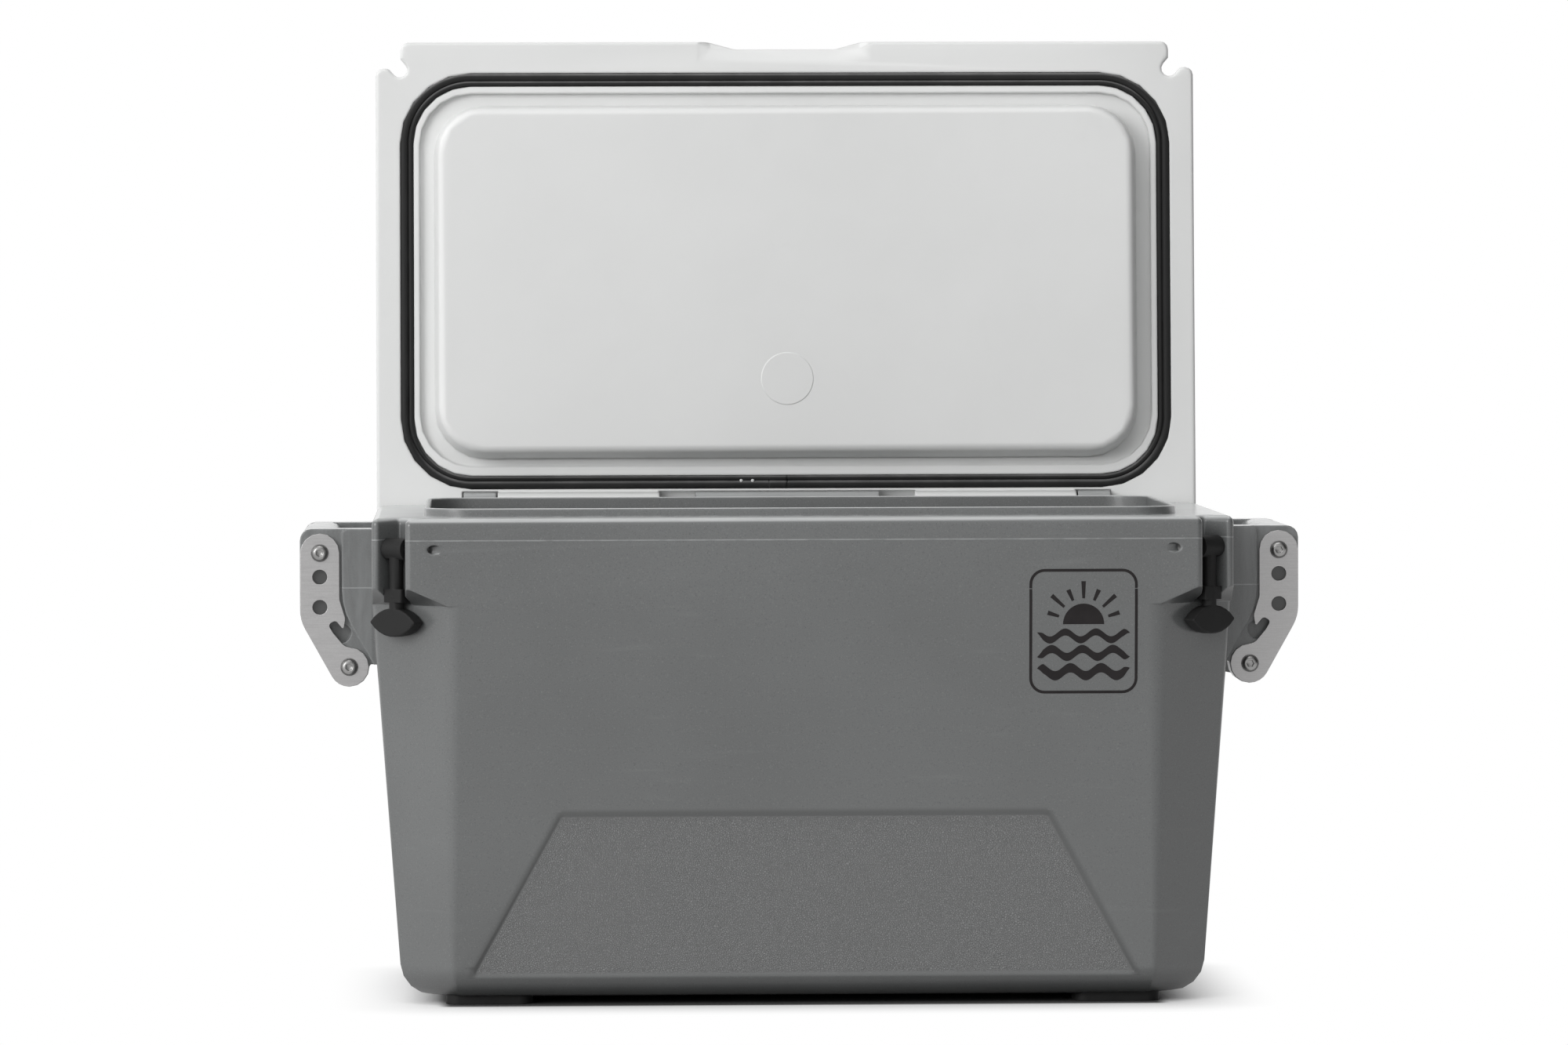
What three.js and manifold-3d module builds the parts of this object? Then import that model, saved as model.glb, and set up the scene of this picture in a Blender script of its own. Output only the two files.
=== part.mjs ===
// A hard-sided boat cooler with its lid open: a double-walled moulded tub, a moulded lid on two
// hinge pins, two rubber corner latches, and moulded side handles faced with aluminium plates.
// Millimetres. X runs to the right, Y to the back, Z up. While it is built, Y is 0 at the front
// face of the rim and Z is 0 at the floor; the last lines centre it over its base.
import * as THREE from "three";
import { mergeVertices } from "three/addons/utils/BufferGeometryUtils.js";
import Module from "manifold-3d";

const wasm = await Module();
wasm.setup();

// General clearances
const seatGap = 0.3; // between pieces that rest on each other
const runningGap = 1.2; // between pieces that pass each other
const overrun = 4; // how far a cut runs past the face it opens
const leastRadius = 0.05;
const coarseSides = 8; // sides of a small hidden round
const boreSides = 12;
const roundSides = 20;
const arcSteps = 3; // segments of a small corner
const fullArcShare = 0.99; // of the largest round that fits, where two rounds share an edge
const wideArcSteps = 5;

// Body
const rimWidth = 733;
const rimDepth = 414;
const rimHeight = 415.5; // above the floor
const rimRound = 6;
const footHeight = 7; // from the floor to the underside of the body
const wallDraft = 0.0738; // inward run of the walls for each unit down
const chamferDraftShare = 0.85; // draft of the front chamfers over that of the walls
const bandDepth = 73.9; // height of the band under the rim, with upright walls and square corners
const bandSlope = 0.69; // rise of the band's sloped corner underside for each unit out
const chamferDepth = 7; // of the front chamfers, behind the latch axes
const chamferRound = 30;
const chamferBackRound = 10;
const rearCornerRound = 28;
const bottomRoundOut = 26;
const bottomRoundUp = 27;
const skin = 4.5; // moulded plastic wall
const baseSkin = 8;

// Cavity and the raised lip round it
const lipFromSide = 44.5;
const lipFront = 50;
const lipFromBack = 31;
const lipHeight = 7.3;
const lipThickness = 5;
const lipCornerRound = 41;
const lipEdgeRound = 1.4;
const cavityFloor = 48;
const cavityDraft = 0.026;
const cavityFloorRound = 22;

// Foam space between the walls
const foamTopDrop = 16; // below the rim
const foamPortRadius = 14;
const foamPortOffset = 130; // from the middle, along X
const foamPortPlugDepth = 5;
const footBossRadius = 11;
const footBossHeight = 8;

// Textured recess in the front
const recessTop = 165;
const recessBottom = 24;
const recessTopFromSide = 158;
const recessBottomFromSide = 80.5;
const recessDepth = 2.4;
const recessBevel = 3.2;
const recessCornerRound = 4;

// Latch channels in the front corners; the channel looks outwards along a diagonal
const latchTurn = THREE.MathUtils.degToRad(40); // between the front and the channel's own plane
const pivotFromSide = 21;
const pivotFromFront = 27.5;
const pivotDrop = 26; // below the rim
const channelInner = 13.2; // half width on the panel's side of the pivot
const channelOuter = 10.3;
const channelFloor = 15.6; // behind the pivot
const channelInnerRound = 2;
const panelFromSide = 28.5;
const panelCornerRound = 5;
const earTipRound = 4;
const latchPinRadius = 3.75;
const pinHoleRadius = 4.1;
const pinPanelReach = 34; // from the pivot into the panel side
const pinEarReach = 20;

// Rubber latch, hanging from its pin
const barrelRadius = 9.3;
const barrelInner = 12; // half length on the panel's side of the pivot
const barrelOuter = 9.1;
const barrelBore = 4.3;
const stemRadius = 6.2;
const collarDrop = 34; // from the pivot to the collar's near face
const collarWidth = 20;
const collarRound = 2;
const collarThickness = 12;
const collarHeight = 11.3;
const neckRadius = 6.4;
const gripWidth = 50;
const gripHeight = 23;
const gripThickness = 12.5;
const gripDrop = 62.3; // from the pivot to the middle of the grip
const gripEdgeRound = 1.2;
const gripTipRound = 1.6;
const gripArcShare = 0.96; // of the arc that would run from tip to tip
const gripArcSteps = 9;

// Hinge
const hingeBehindRim = 4; // axis behind the body's back wall
const hingeBelowRim = 0.25;
const knuckleRadius = 11;
const hingePinRadius = 4;
const hingeBodyBore = 4.2;
const hingeLidBore = 4.3;
const centreKnuckleHalf = 82;
const centreTierHalf = 113;
const centreTierRise = 5.7; // above the rim
const sideKnuckleFromSide = 77;
const sideKnuckleLength = 29;
const knuckleGap = 1.5; // between the body's knuckles and the lid's
const knuckleTrim = 0.6; // overlap of a knuckle with the relief cut beside it
const hingePinStart = 90;
const knuckleFootDrop = 41; // from the axis down to where the knuckle's rib meets the wall
const knuckleRibAngle = THREE.MathUtils.degToRad(25);
const lidOpen = THREE.MathUtils.degToRad(94);

// Lid, as it lies closed
const lidOverhang = 0.5; // beyond the rim at the sides
const lidFront = 3;
const lidBehindHinge = 12;
const lidGap = 1.8; // from the rim to the underside
const lidThickness = 46.5;
const lidTopRound = 10;
const lidUnderRound = 2.5;
const lidRearRound = 3;
const lidDraft = 0.05;
const lidSkin = 4;
const shelfThickness = 5.8; // under each latch pocket
const pocketHalfWidth = 29;
const pocketDepth = 9.6; // behind the latch's axis
const pocketRound = 7;
const pocketLean = 2; // how far its walls have gone back near the top
const pocketFlare = 6;
const notchRadius = 6.8;
const notchMouthRound = 1.6;
const lobeFromSide = 21.7; // outer end of the front lobe, in from the rim's side
const lobeRound = 7;
const lidEarTop = 26.3; // front of the ear behind the notch
const lidEarRound = 7;
const lidEarInnerRound = 5.6;
const fingerDip = 6;
const fingerHalfWidth = 45;
const fingerRun = 22; // length of the curve at each end of the dip
const fingerRound = 17;
const fingerBevelDepth = 9;
const fingerBevelBack = 21;

// Lid underside: gasket seat, groove for the body's lip, and the insulating plug
const gasketFromSide = 21.5;
const gasketFront = 31.2;
const gasketFromHinge = 14;
const gasketWidth = 11.6;
const gasketCornerRound = 63;
const gasketProud = 1.5;
const lobeFlatShare = 0.25; // start of each lobe's flat crown, over the lobe's width
const gasketSeatDepth = 4;
const grooveSideGap = 6; // beside the body's lip
const grooveGap = 0.8; // before and behind it
const grooveDepth = 7;
const grooveCornerRound = 46;
const plugFromSide = 51.9;
const plugFront = 60.5;
const plugBackGap = 1.7; // to the cavity's back wall at the rim
const plugDrop = 22; // below the underside
const plugCornerRound = 44;
const plugSideRun = 4; // how far its sides lean in
const plugBackRun = 5;
const plugEdgeRound = 5;

// Side handles
const handleFront = 103;
const handleDrop = 11.3; // its top, below the rim
const cheekThickness = 30;
const handleReach = 62.5; // out from the rim's side
const handleTopRound = 10;
const railReach = 29.5; // from the rim's side to the rail
const railDrop = 59.5; // the rail's underside, below the rim
const railRound = 8;
const handleRootDepth = 14.5; // how far the cheeks reach into the wall
const cheekFootRise = 2; // the cheeks' foot at the wall, above the lower bolts
const cheekMargin = 0.4; // of a cheek round its plate

// Aluminium handle plates, in their own axes from the upper bolt: u outwards, w up
const plateThickness = 4.5;
const plateHalfWidth = 16.7;
const upperBoltDrop = 31.9; // below the rim
const boltDrop = 97.8; // from the upper bolt down to the lower one
const boltStepIn = 24.9;
const plateLean = THREE.MathUtils.degToRad(29.2);
const plateKneeRound = 35;
const plateHoleRadius = 6.4;
const plateHoleShares = [-0.21, -0.475]; // heights of the two round holes, over the bolt drop
const openerUShares = [-1, -1.3, -1.2, -0.8, -0.42, -0.66, -1.3]; // over the plate's half width
const openerWShares = [-0.41, -0.575, -0.672, -0.588, -0.627, -0.7, -0.8295]; // over the bolt drop
const openerRoundShares = [0.9, 0.5, 0.06, 0.18, 0.18, 0.9, 0.6]; // over the plate's half width
const webEdge = 18.9; // proud web beside the plate, in from the upper bolt
const webKneeDrop = 48;
const webKneeRound = 60;
const webFootIn = 45.9;
const webTopRound = 5;
const webGap = 1.5; // dark line between the web and the plate's lobe
const openerPocketDepth = 9;
const openerPocketHalf = 8;
const openerPocketRound = 6.4;

// Plate bolts and the threaded inserts that take them
const boltRadius = 4;
const boltLength = 20;
const boltHeadRadius = 7;
const boltHeadHeight = 4.4;
const boltSocketRadius = 2.9;
const boltSocketDepth = 2.6;
const boltCrownShare = 0.5; // of the head's radius
const boltShoulderShare = 0.82; // of the head's radius, and of its height
const boltRimShare = 0.25; // of the head's height
const boltHole = 4.35;
const insertRadius = 7;
const insertLength = 21;
const insertBore = 4.3;

// Drain, low in the right end
const drainHeight = 68;
const drainBore = 9.5;
const drainTubeRadius = 13;
const drainFlangeRadius = 24;
const drainFlange = 4;
const drainWasher = 2;
const drainNutRadius = 18;
const drainNut = 8;
const drainRecessHalf = 38;
const drainRecessDepth = 24;
const drainRecessRound = 9;
const drainPlugRadius = 17;
const drainPlugHeight = 13;
const drainPlugShank = 9.1;
const drainPlugShankLength = 18;
const drainPlugEdge = 2;
const drainGripLobes = 6;
const drainGripShare = 0.12; // depth of the grip's waves over the knob's radius

// Feet
const footLength = 74;
const footWidth = 42;
const footThickness = 10;
const footRound = 12;
const footFromSide = 98.5; // middle of a foot, in from the rim's side
const footFromFront = 69;
const footScrewRadius = 2.4;
const footScrewLength = 20;
const footScrewHead = 5.4;
const footScrewHeadHeight = 3;

// Places worked out from the sizes above
const halfWidth = rimWidth / 2;
const bandBottom = rimHeight - bandDepth;
const lipHalfWidth = halfWidth - lipFromSide;
const lipBack = rimDepth - lipFromBack;
const recessTopHalf = halfWidth - recessTopFromSide;
const recessBottomHalf = halfWidth - recessBottomFromSide;
const pivotOut = halfWidth - pivotFromSide;
const pivotHeight = rimHeight - pivotDrop;
const panelHalfWidth = halfWidth - panelFromSide;
const hinge = { y: rimDepth + hingeBehindRim, z: rimHeight - hingeBelowRim };
const sideKnuckleEnd = halfWidth - sideKnuckleFromSide;
const sideKnuckleStart = sideKnuckleEnd - sideKnuckleLength;
const lidKnuckleStart = centreTierHalf + knuckleGap;
const lidKnuckleEnd = sideKnuckleStart - knuckleGap;
const lidHalfWidth = halfWidth + lidOverhang;
const lidBack = hinge.y + lidBehindHinge;
const lidUnder = rimHeight + lidGap;
const lidTop = lidUnder + lidThickness;
const lobeEnd = halfWidth - lobeFromSide;
const handleTop = rimHeight - handleDrop;
const handleOut = halfWidth + handleReach;
const handleRoot = halfWidth - handleRootDepth;
const upperBoltOut = handleOut - plateHalfWidth - cheekMargin;
const upperBoltHeight = rimHeight - upperBoltDrop;
const cheekFoot = cheekFootRise - boltDrop; // from the upper bolt
const cheekFace = handleFront + plateThickness + seatGap;
const drainFace = halfWidth - wallDraft * (bandBottom - drainHeight) - drainRecessDepth;
const drainY = rimDepth / 2;

const bodyPlastic = new THREE.MeshStandardMaterial({ color: 0x6c7070, roughness: 0.62 });
const lidPlastic = new THREE.MeshStandardMaterial({ color: 0xd9d9d7, roughness: 0.5 });
const foamMaterial = new THREE.MeshStandardMaterial({ color: 0xe8dfb8, roughness: 0.95 });
const blackRubber = new THREE.MeshStandardMaterial({ color: 0x242626, roughness: 0.7 });
const gasketRubber = new THREE.MeshStandardMaterial({ color: 0x2c2e2e, roughness: 0.55 });
const brushedAluminium = new THREE.MeshStandardMaterial({ color: 0xbdbbbb, roughness: 0.42, metalness: 0.9 });
const stainlessSteel = new THREE.MeshStandardMaterial({ color: 0xa8a6a4, roughness: 0.28, metalness: 1 });
const brass = new THREE.MeshStandardMaterial({ color: 0xb08d4a, roughness: 0.4, metalness: 1 });
const drainPlastic = new THREE.MeshStandardMaterial({ color: 0x2a2c2d, roughness: 0.5 });

// Closed mesh to solid: only positions are kept, shared points are merged and empty faces dropped.
function solidOf(geometry) {
  const bare = geometry.clone();
  bare.deleteAttribute("normal");
  bare.deleteAttribute("uv");
  const merged = mergeVertices(bare);
  const faces = [];
  const index = merged.index.array;
  for (let i = 0; i < index.length; i += 3) {
    const [a, b, c] = index.slice(i, i + 3);
    if (a !== b && b !== c && c !== a) faces.push(a, b, c);
  }
  const vertProperties = merged.attributes.position.array;
  return new wasm.Manifold(new wasm.Mesh({ numProp: 3, vertProperties, triVerts: new Uint32Array(faces) }));
}

function geometryOf(solid) {
  const { vertProperties, triVerts } = solid.getMesh();
  const indexed = new THREE.BufferGeometry();
  indexed.setAttribute("position", new THREE.BufferAttribute(vertProperties, 3));
  indexed.setIndex(new THREE.BufferAttribute(triVerts, 1));
  const geometry = indexed.toNonIndexed();
  geometry.computeVertexNormals();
  return geometry;
}

function piece(name, solid, material) {
  const mesh = new THREE.Mesh(geometryOf(solid), material);
  mesh.name = name;
  return mesh;
}

const joined = (first, ...rest) => rest.reduce((sum, next) => sum.add(next), first);
const cutBy = (first, ...rest) => rest.reduce((left, next) => left.subtract(next), first);
const point = (x, y) => new THREE.Vector2(x, y);

// Outline with arcs at its corners. Edge i runs from corner i to the next one and is first moved
// inwards by insets[i], or by insets itself where one number serves all edges.
function roundedOutline(corners, radii, insets, steps) {
  const count = corners.length;
  const insetOf = (i) => (Array.isArray(insets) ? insets[i] : insets);
  const radiusOf = (i) => (Array.isArray(radii) ? radii[i] : radii);
  const edges = corners.map((corner, i) => {
    const along = corners[(i + 1) % count].clone().sub(corner).normalize();
    const inward = point(-along.y, along.x);
    return { along, inward, start: corner.clone().addScaledVector(inward, insetOf(i)) };
  });
  const outline = [];
  for (let i = 0; i < count; i++) {
    const previous = (i + count - 1) % count;
    const before = edges[previous];
    const after = edges[i];
    const sine = before.along.cross(after.along);
    const turn = Math.atan2(sine, before.along.dot(after.along));
    const run = after.start.clone().sub(before.start).cross(after.along) / sine;
    const corner = before.start.clone().addScaledVector(before.along, run);
    const side = Math.sign(turn);
    const inset = (insetOf(i) + insetOf(previous)) / 2;
    const radius = Math.max(radiusOf(i) - side * inset, leastRadius);
    const start = corner.clone().addScaledVector(before.along, -radius * Math.tan(Math.abs(turn) / 2));
    const centre = start.clone().addScaledVector(before.inward, side * radius);
    for (let k = 0; k <= steps; k++) outline.push(start.clone().rotateAround(centre, (turn * k) / steps));
  }
  return outline;
}

// Corners of an upright rectangle, anticlockwise from the lower left one.
const rectangle = (left, low, right, high) => [
  point(left, low),
  point(right, low),
  point(right, high),
  point(left, high),
];

// Mesh through rings of equal length, each anticlockwise seen from above, with flat ends unless
// the last ring closes on the first.
function ringMesh(levels, closed) {
  const count = levels[0].outline.length;
  const positions = levels.flatMap(({ outline, z }) => outline.flatMap((p) => [p.x, p.y, z]));
  const faces = [];
  const spans = closed ? levels.length : levels.length - 1;
  for (let level = 0; level < spans; level++) {
    const low = level * count;
    const high = ((level + 1) % levels.length) * count;
    for (let i = 0; i < count; i++) {
      const next = (i + 1) % count;
      faces.push(low + i, low + next, high + next, low + i, high + next, high + i);
    }
  }
  if (!closed) {
    const last = (levels.length - 1) * count;
    for (const [a, b, c] of THREE.ShapeUtils.triangulateShape(levels[0].outline, [])) faces.push(c, b, a);
    for (const [a, b, c] of THREE.ShapeUtils.triangulateShape(levels.at(-1).outline, [])) {
      faces.push(last + a, last + b, last + c);
    }
  }
  const geometry = new THREE.BufferGeometry();
  geometry.setAttribute("position", new THREE.BufferAttribute(new Float32Array(positions), 3));
  geometry.setIndex(faces);
  return geometry;
}

const loft = (levels) => solidOf(ringMesh(levels, false));

const prism = (outline, from, to) =>
  loft([
    { z: from, outline },
    { z: to, outline },
  ]);

// Quarter round between two faces, as pairs of how far in it still is and how far along.
function quarterRound(inward, along, steps) {
  const pairs = [];
  for (let k = 0; k <= steps; k++) {
    const angle = (k / steps) * (Math.PI / 2);
    pairs.push([inward * (1 - Math.sin(angle)), along * (1 - Math.cos(angle))]);
  }
  return pairs;
}

const extruded = (outline, depth) =>
  new THREE.ExtrudeGeometry(new THREE.Shape(outline), { depth, bevelEnabled: false });

// Prism of an outline drawn in X and Z, between two places along Y.
function prismAlongY(outline, from, to) {
  const geometry = extruded(outline, to - from);
  geometry.rotateX(Math.PI / 2);
  geometry.translate(0, to, 0);
  return solidOf(geometry);
}

// Prism of an outline drawn in Y and Z, between two places along X.
function prismAlongX(outline, from, to) {
  const geometry = extruded(outline, to - from);
  geometry.applyMatrix4(new THREE.Matrix4().set(0, 0, 1, from, 1, 0, 0, 0, 0, 1, 0, 0, 0, 0, 0, 1));
  return solidOf(geometry);
}

// Round bar between two points.
function bar(start, end, radius, sides) {
  const along = end.clone().sub(start);
  const geometry = new THREE.CylinderGeometry(radius, radius, along.length(), sides);
  const up = new THREE.Vector3(0, 1, 0);
  geometry.applyQuaternion(new THREE.Quaternion().setFromUnitVectors(up, along.normalize()));
  const middle = start.clone().add(end).multiplyScalar(1 / 2);
  geometry.translate(middle.x, middle.y, middle.z);
  return solidOf(geometry);
}

const place = (x, y, z) => new THREE.Vector3(x, y, z);
const barAlongX = (y, z, from, to, radius, sides) => bar(place(from, y, z), place(to, y, z), radius, sides);
const barAlongY = (x, z, from, to, radius, sides) => bar(place(x, from, z), place(x, to, z), radius, sides);
const barAlongZ = (x, y, from, to, radius, sides) => bar(place(x, y, from), place(x, y, to), radius, sides);

// Latch axes in plan, for the right side (side 1) or the left (side -1).
const pivotAt = (side) => point(side * pivotOut, pivotFromFront);
const latchOut = (side) => point(side * Math.sin(latchTurn), -Math.cos(latchTurn));
const latchAcross = (side) => point(side * Math.cos(latchTurn), Math.sin(latchTurn));
const nearPivot = (side, out, across) =>
  pivotAt(side).addScaledVector(latchOut(side), out).addScaledVector(latchAcross(side), across);

// Where a line parallel to the latch plane, or square to it, meets an upright line or a level one.
const outAtX = (x, across) => (x - pivotOut - across * Math.cos(latchTurn)) / Math.sin(latchTurn);
const outAtY = (y, across) => (pivotFromFront + across * Math.sin(latchTurn) - y) / Math.cos(latchTurn);
const xOnChamfer = (y, depth) =>
  pivotOut + ((y - pivotFromFront) * Math.cos(latchTurn) - depth) / Math.sin(latchTurn);
const yOnChamfer = (x, depth) =>
  pivotFromFront + ((x - pivotOut) * Math.sin(latchTurn) + depth) / Math.cos(latchTurn);

// Plan of a block that lies square to the latch plane and reaches outwards from behind the axis.
function latchBlock(side, behind, half) {
  const corners = [
    nearPivot(side, -behind, -half),
    nearPivot(side, 2 * half, -half),
    nearPivot(side, 2 * half, half),
    nearPivot(side, -behind, half),
  ];
  return side < 0 ? corners.reverse() : corners;
}

// Corners given for the right side, completed by their mirror images on the left.
const mirroredCorners = (right) => [...right, ...right.map((corner) => point(-corner.x, corner.y)).reverse()];
const mirroredRounds = (right) => [...right, ...right.slice().reverse()];

// Plan with chamfered front corners that lie a depth behind the latch axes.
const chamferedCorners = (half, front, back, depth) =>
  mirroredCorners([
    point(xOnChamfer(front, depth), front),
    point(half, yOnChamfer(half, depth)),
    point(half, back),
  ]);
const bodyCorners = chamferedCorners(halfWidth, 0, rimDepth, chamferDepth);
const bodyRounds = mirroredRounds([chamferRound, chamferBackRound, rearCornerRound]);

// Insets of the body plan's edges at a height: chamfer, side, back, side, chamfer, front.
function draftedInsets(z, extra) {
  const draft = wallDraft * Math.max(bandBottom - z, 0);
  const chamfer = draft * chamferDraftShare + extra;
  const wall = draft + extra;
  return [chamfer, wall, wall, wall, chamfer, wall];
}

// Body form below the band, moved inwards by extra, with rounded bottom edges.
function draftedLevels(bottom, top, extra, steps) {
  const at = (z, inset) => ({
    z,
    outline: roundedOutline(bodyCorners, bodyRounds, draftedInsets(z, extra + inset), steps),
  });
  const levels = quarterRound(bottomRoundOut - extra, bottomRoundUp - extra, steps - 1).map(([inset, rise]) =>
    at(bottom + rise, inset),
  );
  levels.push(at(bandBottom, 0));
  if (top > bandBottom) levels.push(at(top, extra ? 0 : overrun));
  return levels;
}

// Square-cornered band under the rim, with the latch channels and their ears.
function rimBand() {
  const corners = mirroredCorners([
    point(panelHalfWidth, 0),
    nearPivot(1, outAtX(panelHalfWidth, -channelInner), -channelInner),
    nearPivot(1, -channelFloor, -channelInner),
    nearPivot(1, -channelFloor, channelOuter),
    nearPivot(1, outAtX(halfWidth, channelOuter), channelOuter),
    point(halfWidth, rimDepth),
  ]);
  const radii = mirroredRounds([
    panelCornerRound,
    panelCornerRound,
    channelInnerRound,
    channelInnerRound,
    earTipRound,
    rearCornerRound,
  ]);
  const at = (z, inset) => ({ z, outline: roundedOutline(corners, radii, inset, arcSteps) });
  const rounding = quarterRound(rimRound, rimRound, arcSteps).reverse();
  const levels = [at(bandBottom, 0), ...rounding.map(([inset, drop]) => at(rimHeight - drop, inset))];
  return cutBy(loft(levels), bandUnderside(1), bandUnderside(-1));
}

// Wedge that slopes the underside of the band outwards and up from the chamfer.
function bandUnderside(side) {
  const reach = rimDepth / 4;
  const profile = [
    point(0, bandBottom - overrun),
    point(reach, bandBottom - overrun),
    point(reach, bandBottom + reach * bandSlope),
    point(0, bandBottom),
  ];
  const geometry = extruded(profile, 2 * reach);
  const out = place(latchOut(side).x, latchOut(side).y, 0);
  const up = place(0, 0, 1);
  const across = out.clone().cross(up);
  const foot = nearPivot(side, -chamferDepth, 0);
  const frame = new THREE.Matrix4().makeBasis(out, up, across);
  frame.setPosition(foot.x - across.x * reach, foot.y - across.y * reach, 0);
  geometry.applyMatrix4(frame);
  return solidOf(geometry);
}

const lipCorners = rectangle(-lipHalfWidth, lipFront, lipHalfWidth, lipBack);

function rimLip() {
  const at = (z, inset) => ({ z, outline: roundedOutline(lipCorners, lipCornerRound, inset, wideArcSteps) });
  const rounding = quarterRound(lipEdgeRound, lipEdgeRound, 2).reverse();
  const top = rimHeight + lipHeight;
  return loft([at(rimHeight - rimRound, 0), ...rounding.map(([inset, drop]) => at(top - drop, inset))]);
}

const cavityInset = (z) => lipThickness + cavityDraft * (rimHeight - z);

// Food space. A growth gives the same form with its walls moved out by that much.
function cavity(growth, top) {
  const at = (z, extra) => ({
    z,
    outline: roundedOutline(lipCorners, lipCornerRound, cavityInset(z) - growth + extra, wideArcSteps),
  });
  const floor = cavityFloor - growth;
  const levels = quarterRound(cavityFloorRound, cavityFloorRound, arcSteps).map(([inset, rise]) =>
    at(floor + rise, inset),
  );
  return loft([...levels, at(top - lipEdgeRound, 0), at(top + leastRadius, growth ? 0 : -lipEdgeRound)]);
}

const footPlaces = () =>
  [-1, 1].flatMap((sideX) =>
    [footFromFront, rimDepth - footFromFront].map((y) => [sideX * (halfWidth - footFromSide), y]),
  );
const foamPorts = () => [-foamPortOffset, foamPortOffset].map((x) => [x, rimDepth / 2]);

// Foam space inside the double wall, smaller all round by the given gap.
function bodyFoamSpace(gap) {
  const bottom = footHeight + baseSkin + gap;
  const outer = loft(draftedLevels(bottom, rimHeight - foamTopDrop - gap, skin + gap, arcSteps));
  const bosses = footPlaces().map(([x, y]) =>
    barAlongZ(x, y, footHeight, bottom + footBossHeight + gap, footBossRadius + gap, boreSides),
  );
  const half = drainRecessHalf + skin + gap;
  const drainBlock = prismAlongX(
    rectangle(drainY - half, 0, drainY + half, drainHeight + half),
    drainFace - drainRecessHalf - gap,
    halfWidth,
  );
  const wall = skin + gap;
  const channelBacks = [-1, 1].map((side) =>
    prism(latchBlock(side, channelFloor + wall, rimDepth / 4), bandBottom - wall, rimHeight),
  );
  return cutBy(outer, cavity(wall, rimHeight + overrun), drainBlock, ...channelBacks, ...bosses);
}

// Shallow trapezoid recess, parallel to the drafted front face.
function frontRecess() {
  const at = (z, grow) => ({
    z,
    outline: roundedOutline(
      [
        point(-recessBottomHalf, recessBottom),
        point(recessBottomHalf, recessBottom),
        point(recessTopHalf, recessTop),
        point(-recessTopHalf, recessTop),
      ],
      recessCornerRound,
      -grow,
      arcSteps,
    ),
  });
  const geometry = ringMesh([at(-recessDepth, -recessBevel), at(0, 0), at(recessDepth, recessBevel)], false);
  geometry.rotateX(Math.PI / 2 + Math.atan(wallDraft));
  geometry.translate(0, wallDraft * bandBottom, 0);
  return solidOf(geometry);
}

// Side view of a hinge knuckle with the rib that carries it down the back wall.
function knuckleOutline() {
  const foot = hinge.z - knuckleFootDrop;
  const meetsRim = Math.sqrt(knuckleRadius * knuckleRadius - hingeBelowRim * hingeBelowRim);
  const outline = [
    point(rimDepth - 2 * rimRound, foot),
    point(hinge.y - 2 * knuckleRadius, rimHeight - rimRound),
    point(hinge.y - meetsRim, rimHeight),
  ];
  const sweep = Math.PI + knuckleRibAngle;
  for (let k = 0; k <= roundSides / 2; k++) {
    const angle = Math.PI - (sweep * k) / (roundSides / 2);
    outline.push(point(hinge.y + knuckleRadius * Math.cos(angle), hinge.z + knuckleRadius * Math.sin(angle)));
  }
  outline.push(point(rimDepth - rimRound, foot));
  return outline;
}

function bodyKnuckles() {
  const outline = knuckleOutline();
  const tierEnd = centreTierHalf + knuckleTrim;
  const belowTier = prismAlongX(
    rectangle(0, 0, 2 * rimDepth, rimHeight + centreTierRise),
    -tierEnd - overrun,
    tierEnd + overrun,
  );
  return joined(
    prismAlongX(outline, -centreKnuckleHalf, centreKnuckleHalf),
    prismAlongX(outline, -tierEnd, tierEnd).intersect(belowTier),
    prismAlongX(outline, sideKnuckleStart - knuckleTrim, sideKnuckleEnd),
    prismAlongX(outline, -sideKnuckleEnd, knuckleTrim - sideKnuckleStart),
  );
}

// The same round bar on both sides, about the hinge axis.
function hingeBars(radius, from, to, sides) {
  const right = barAlongX(hinge.y, hinge.z, from, to, radius, sides);
  return right.add(barAlongX(hinge.y, hinge.z, -to, -from, radius, sides));
}

// Straight lower side of a plate and its lobe, in the plate's axes, moved outwards by clearance.
function lobeLine(clearance) {
  const radius = plateHalfWidth + clearance;
  const tangent = point(
    -boltStepIn + radius * Math.cos(plateLean),
    -boltDrop - radius * Math.sin(plateLean),
  );
  const bottom = -boltDrop - radius;
  return {
    radius,
    inner: -boltStepIn - radius,
    foot: point(tangent.x + (bottom - tangent.y) * Math.tan(plateLean), bottom),
    knee: point(radius, tangent.y + (radius - tangent.x) / Math.tan(plateLean)),
  };
}

const openerPoint = (i) => point(openerUShares[i] * plateHalfWidth, openerWShares[i] * boltDrop);

function plateOutline() {
  const { radius, inner, foot, knee } = lobeLine(0);
  const corners = [
    point(-radius, radius),
    ...openerUShares.map((share, i) => openerPoint(i)),
    point(inner, foot.y + 2 * radius),
    point(inner, foot.y),
    foot,
    knee,
    point(radius, radius),
  ];
  const opener = openerRoundShares.map((share) => share * radius);
  const full = radius * fullArcShare;
  return roundedOutline(corners, [full, ...opener, full, full, full, plateKneeRound, full], 0, arcSteps + 1);
}

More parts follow.
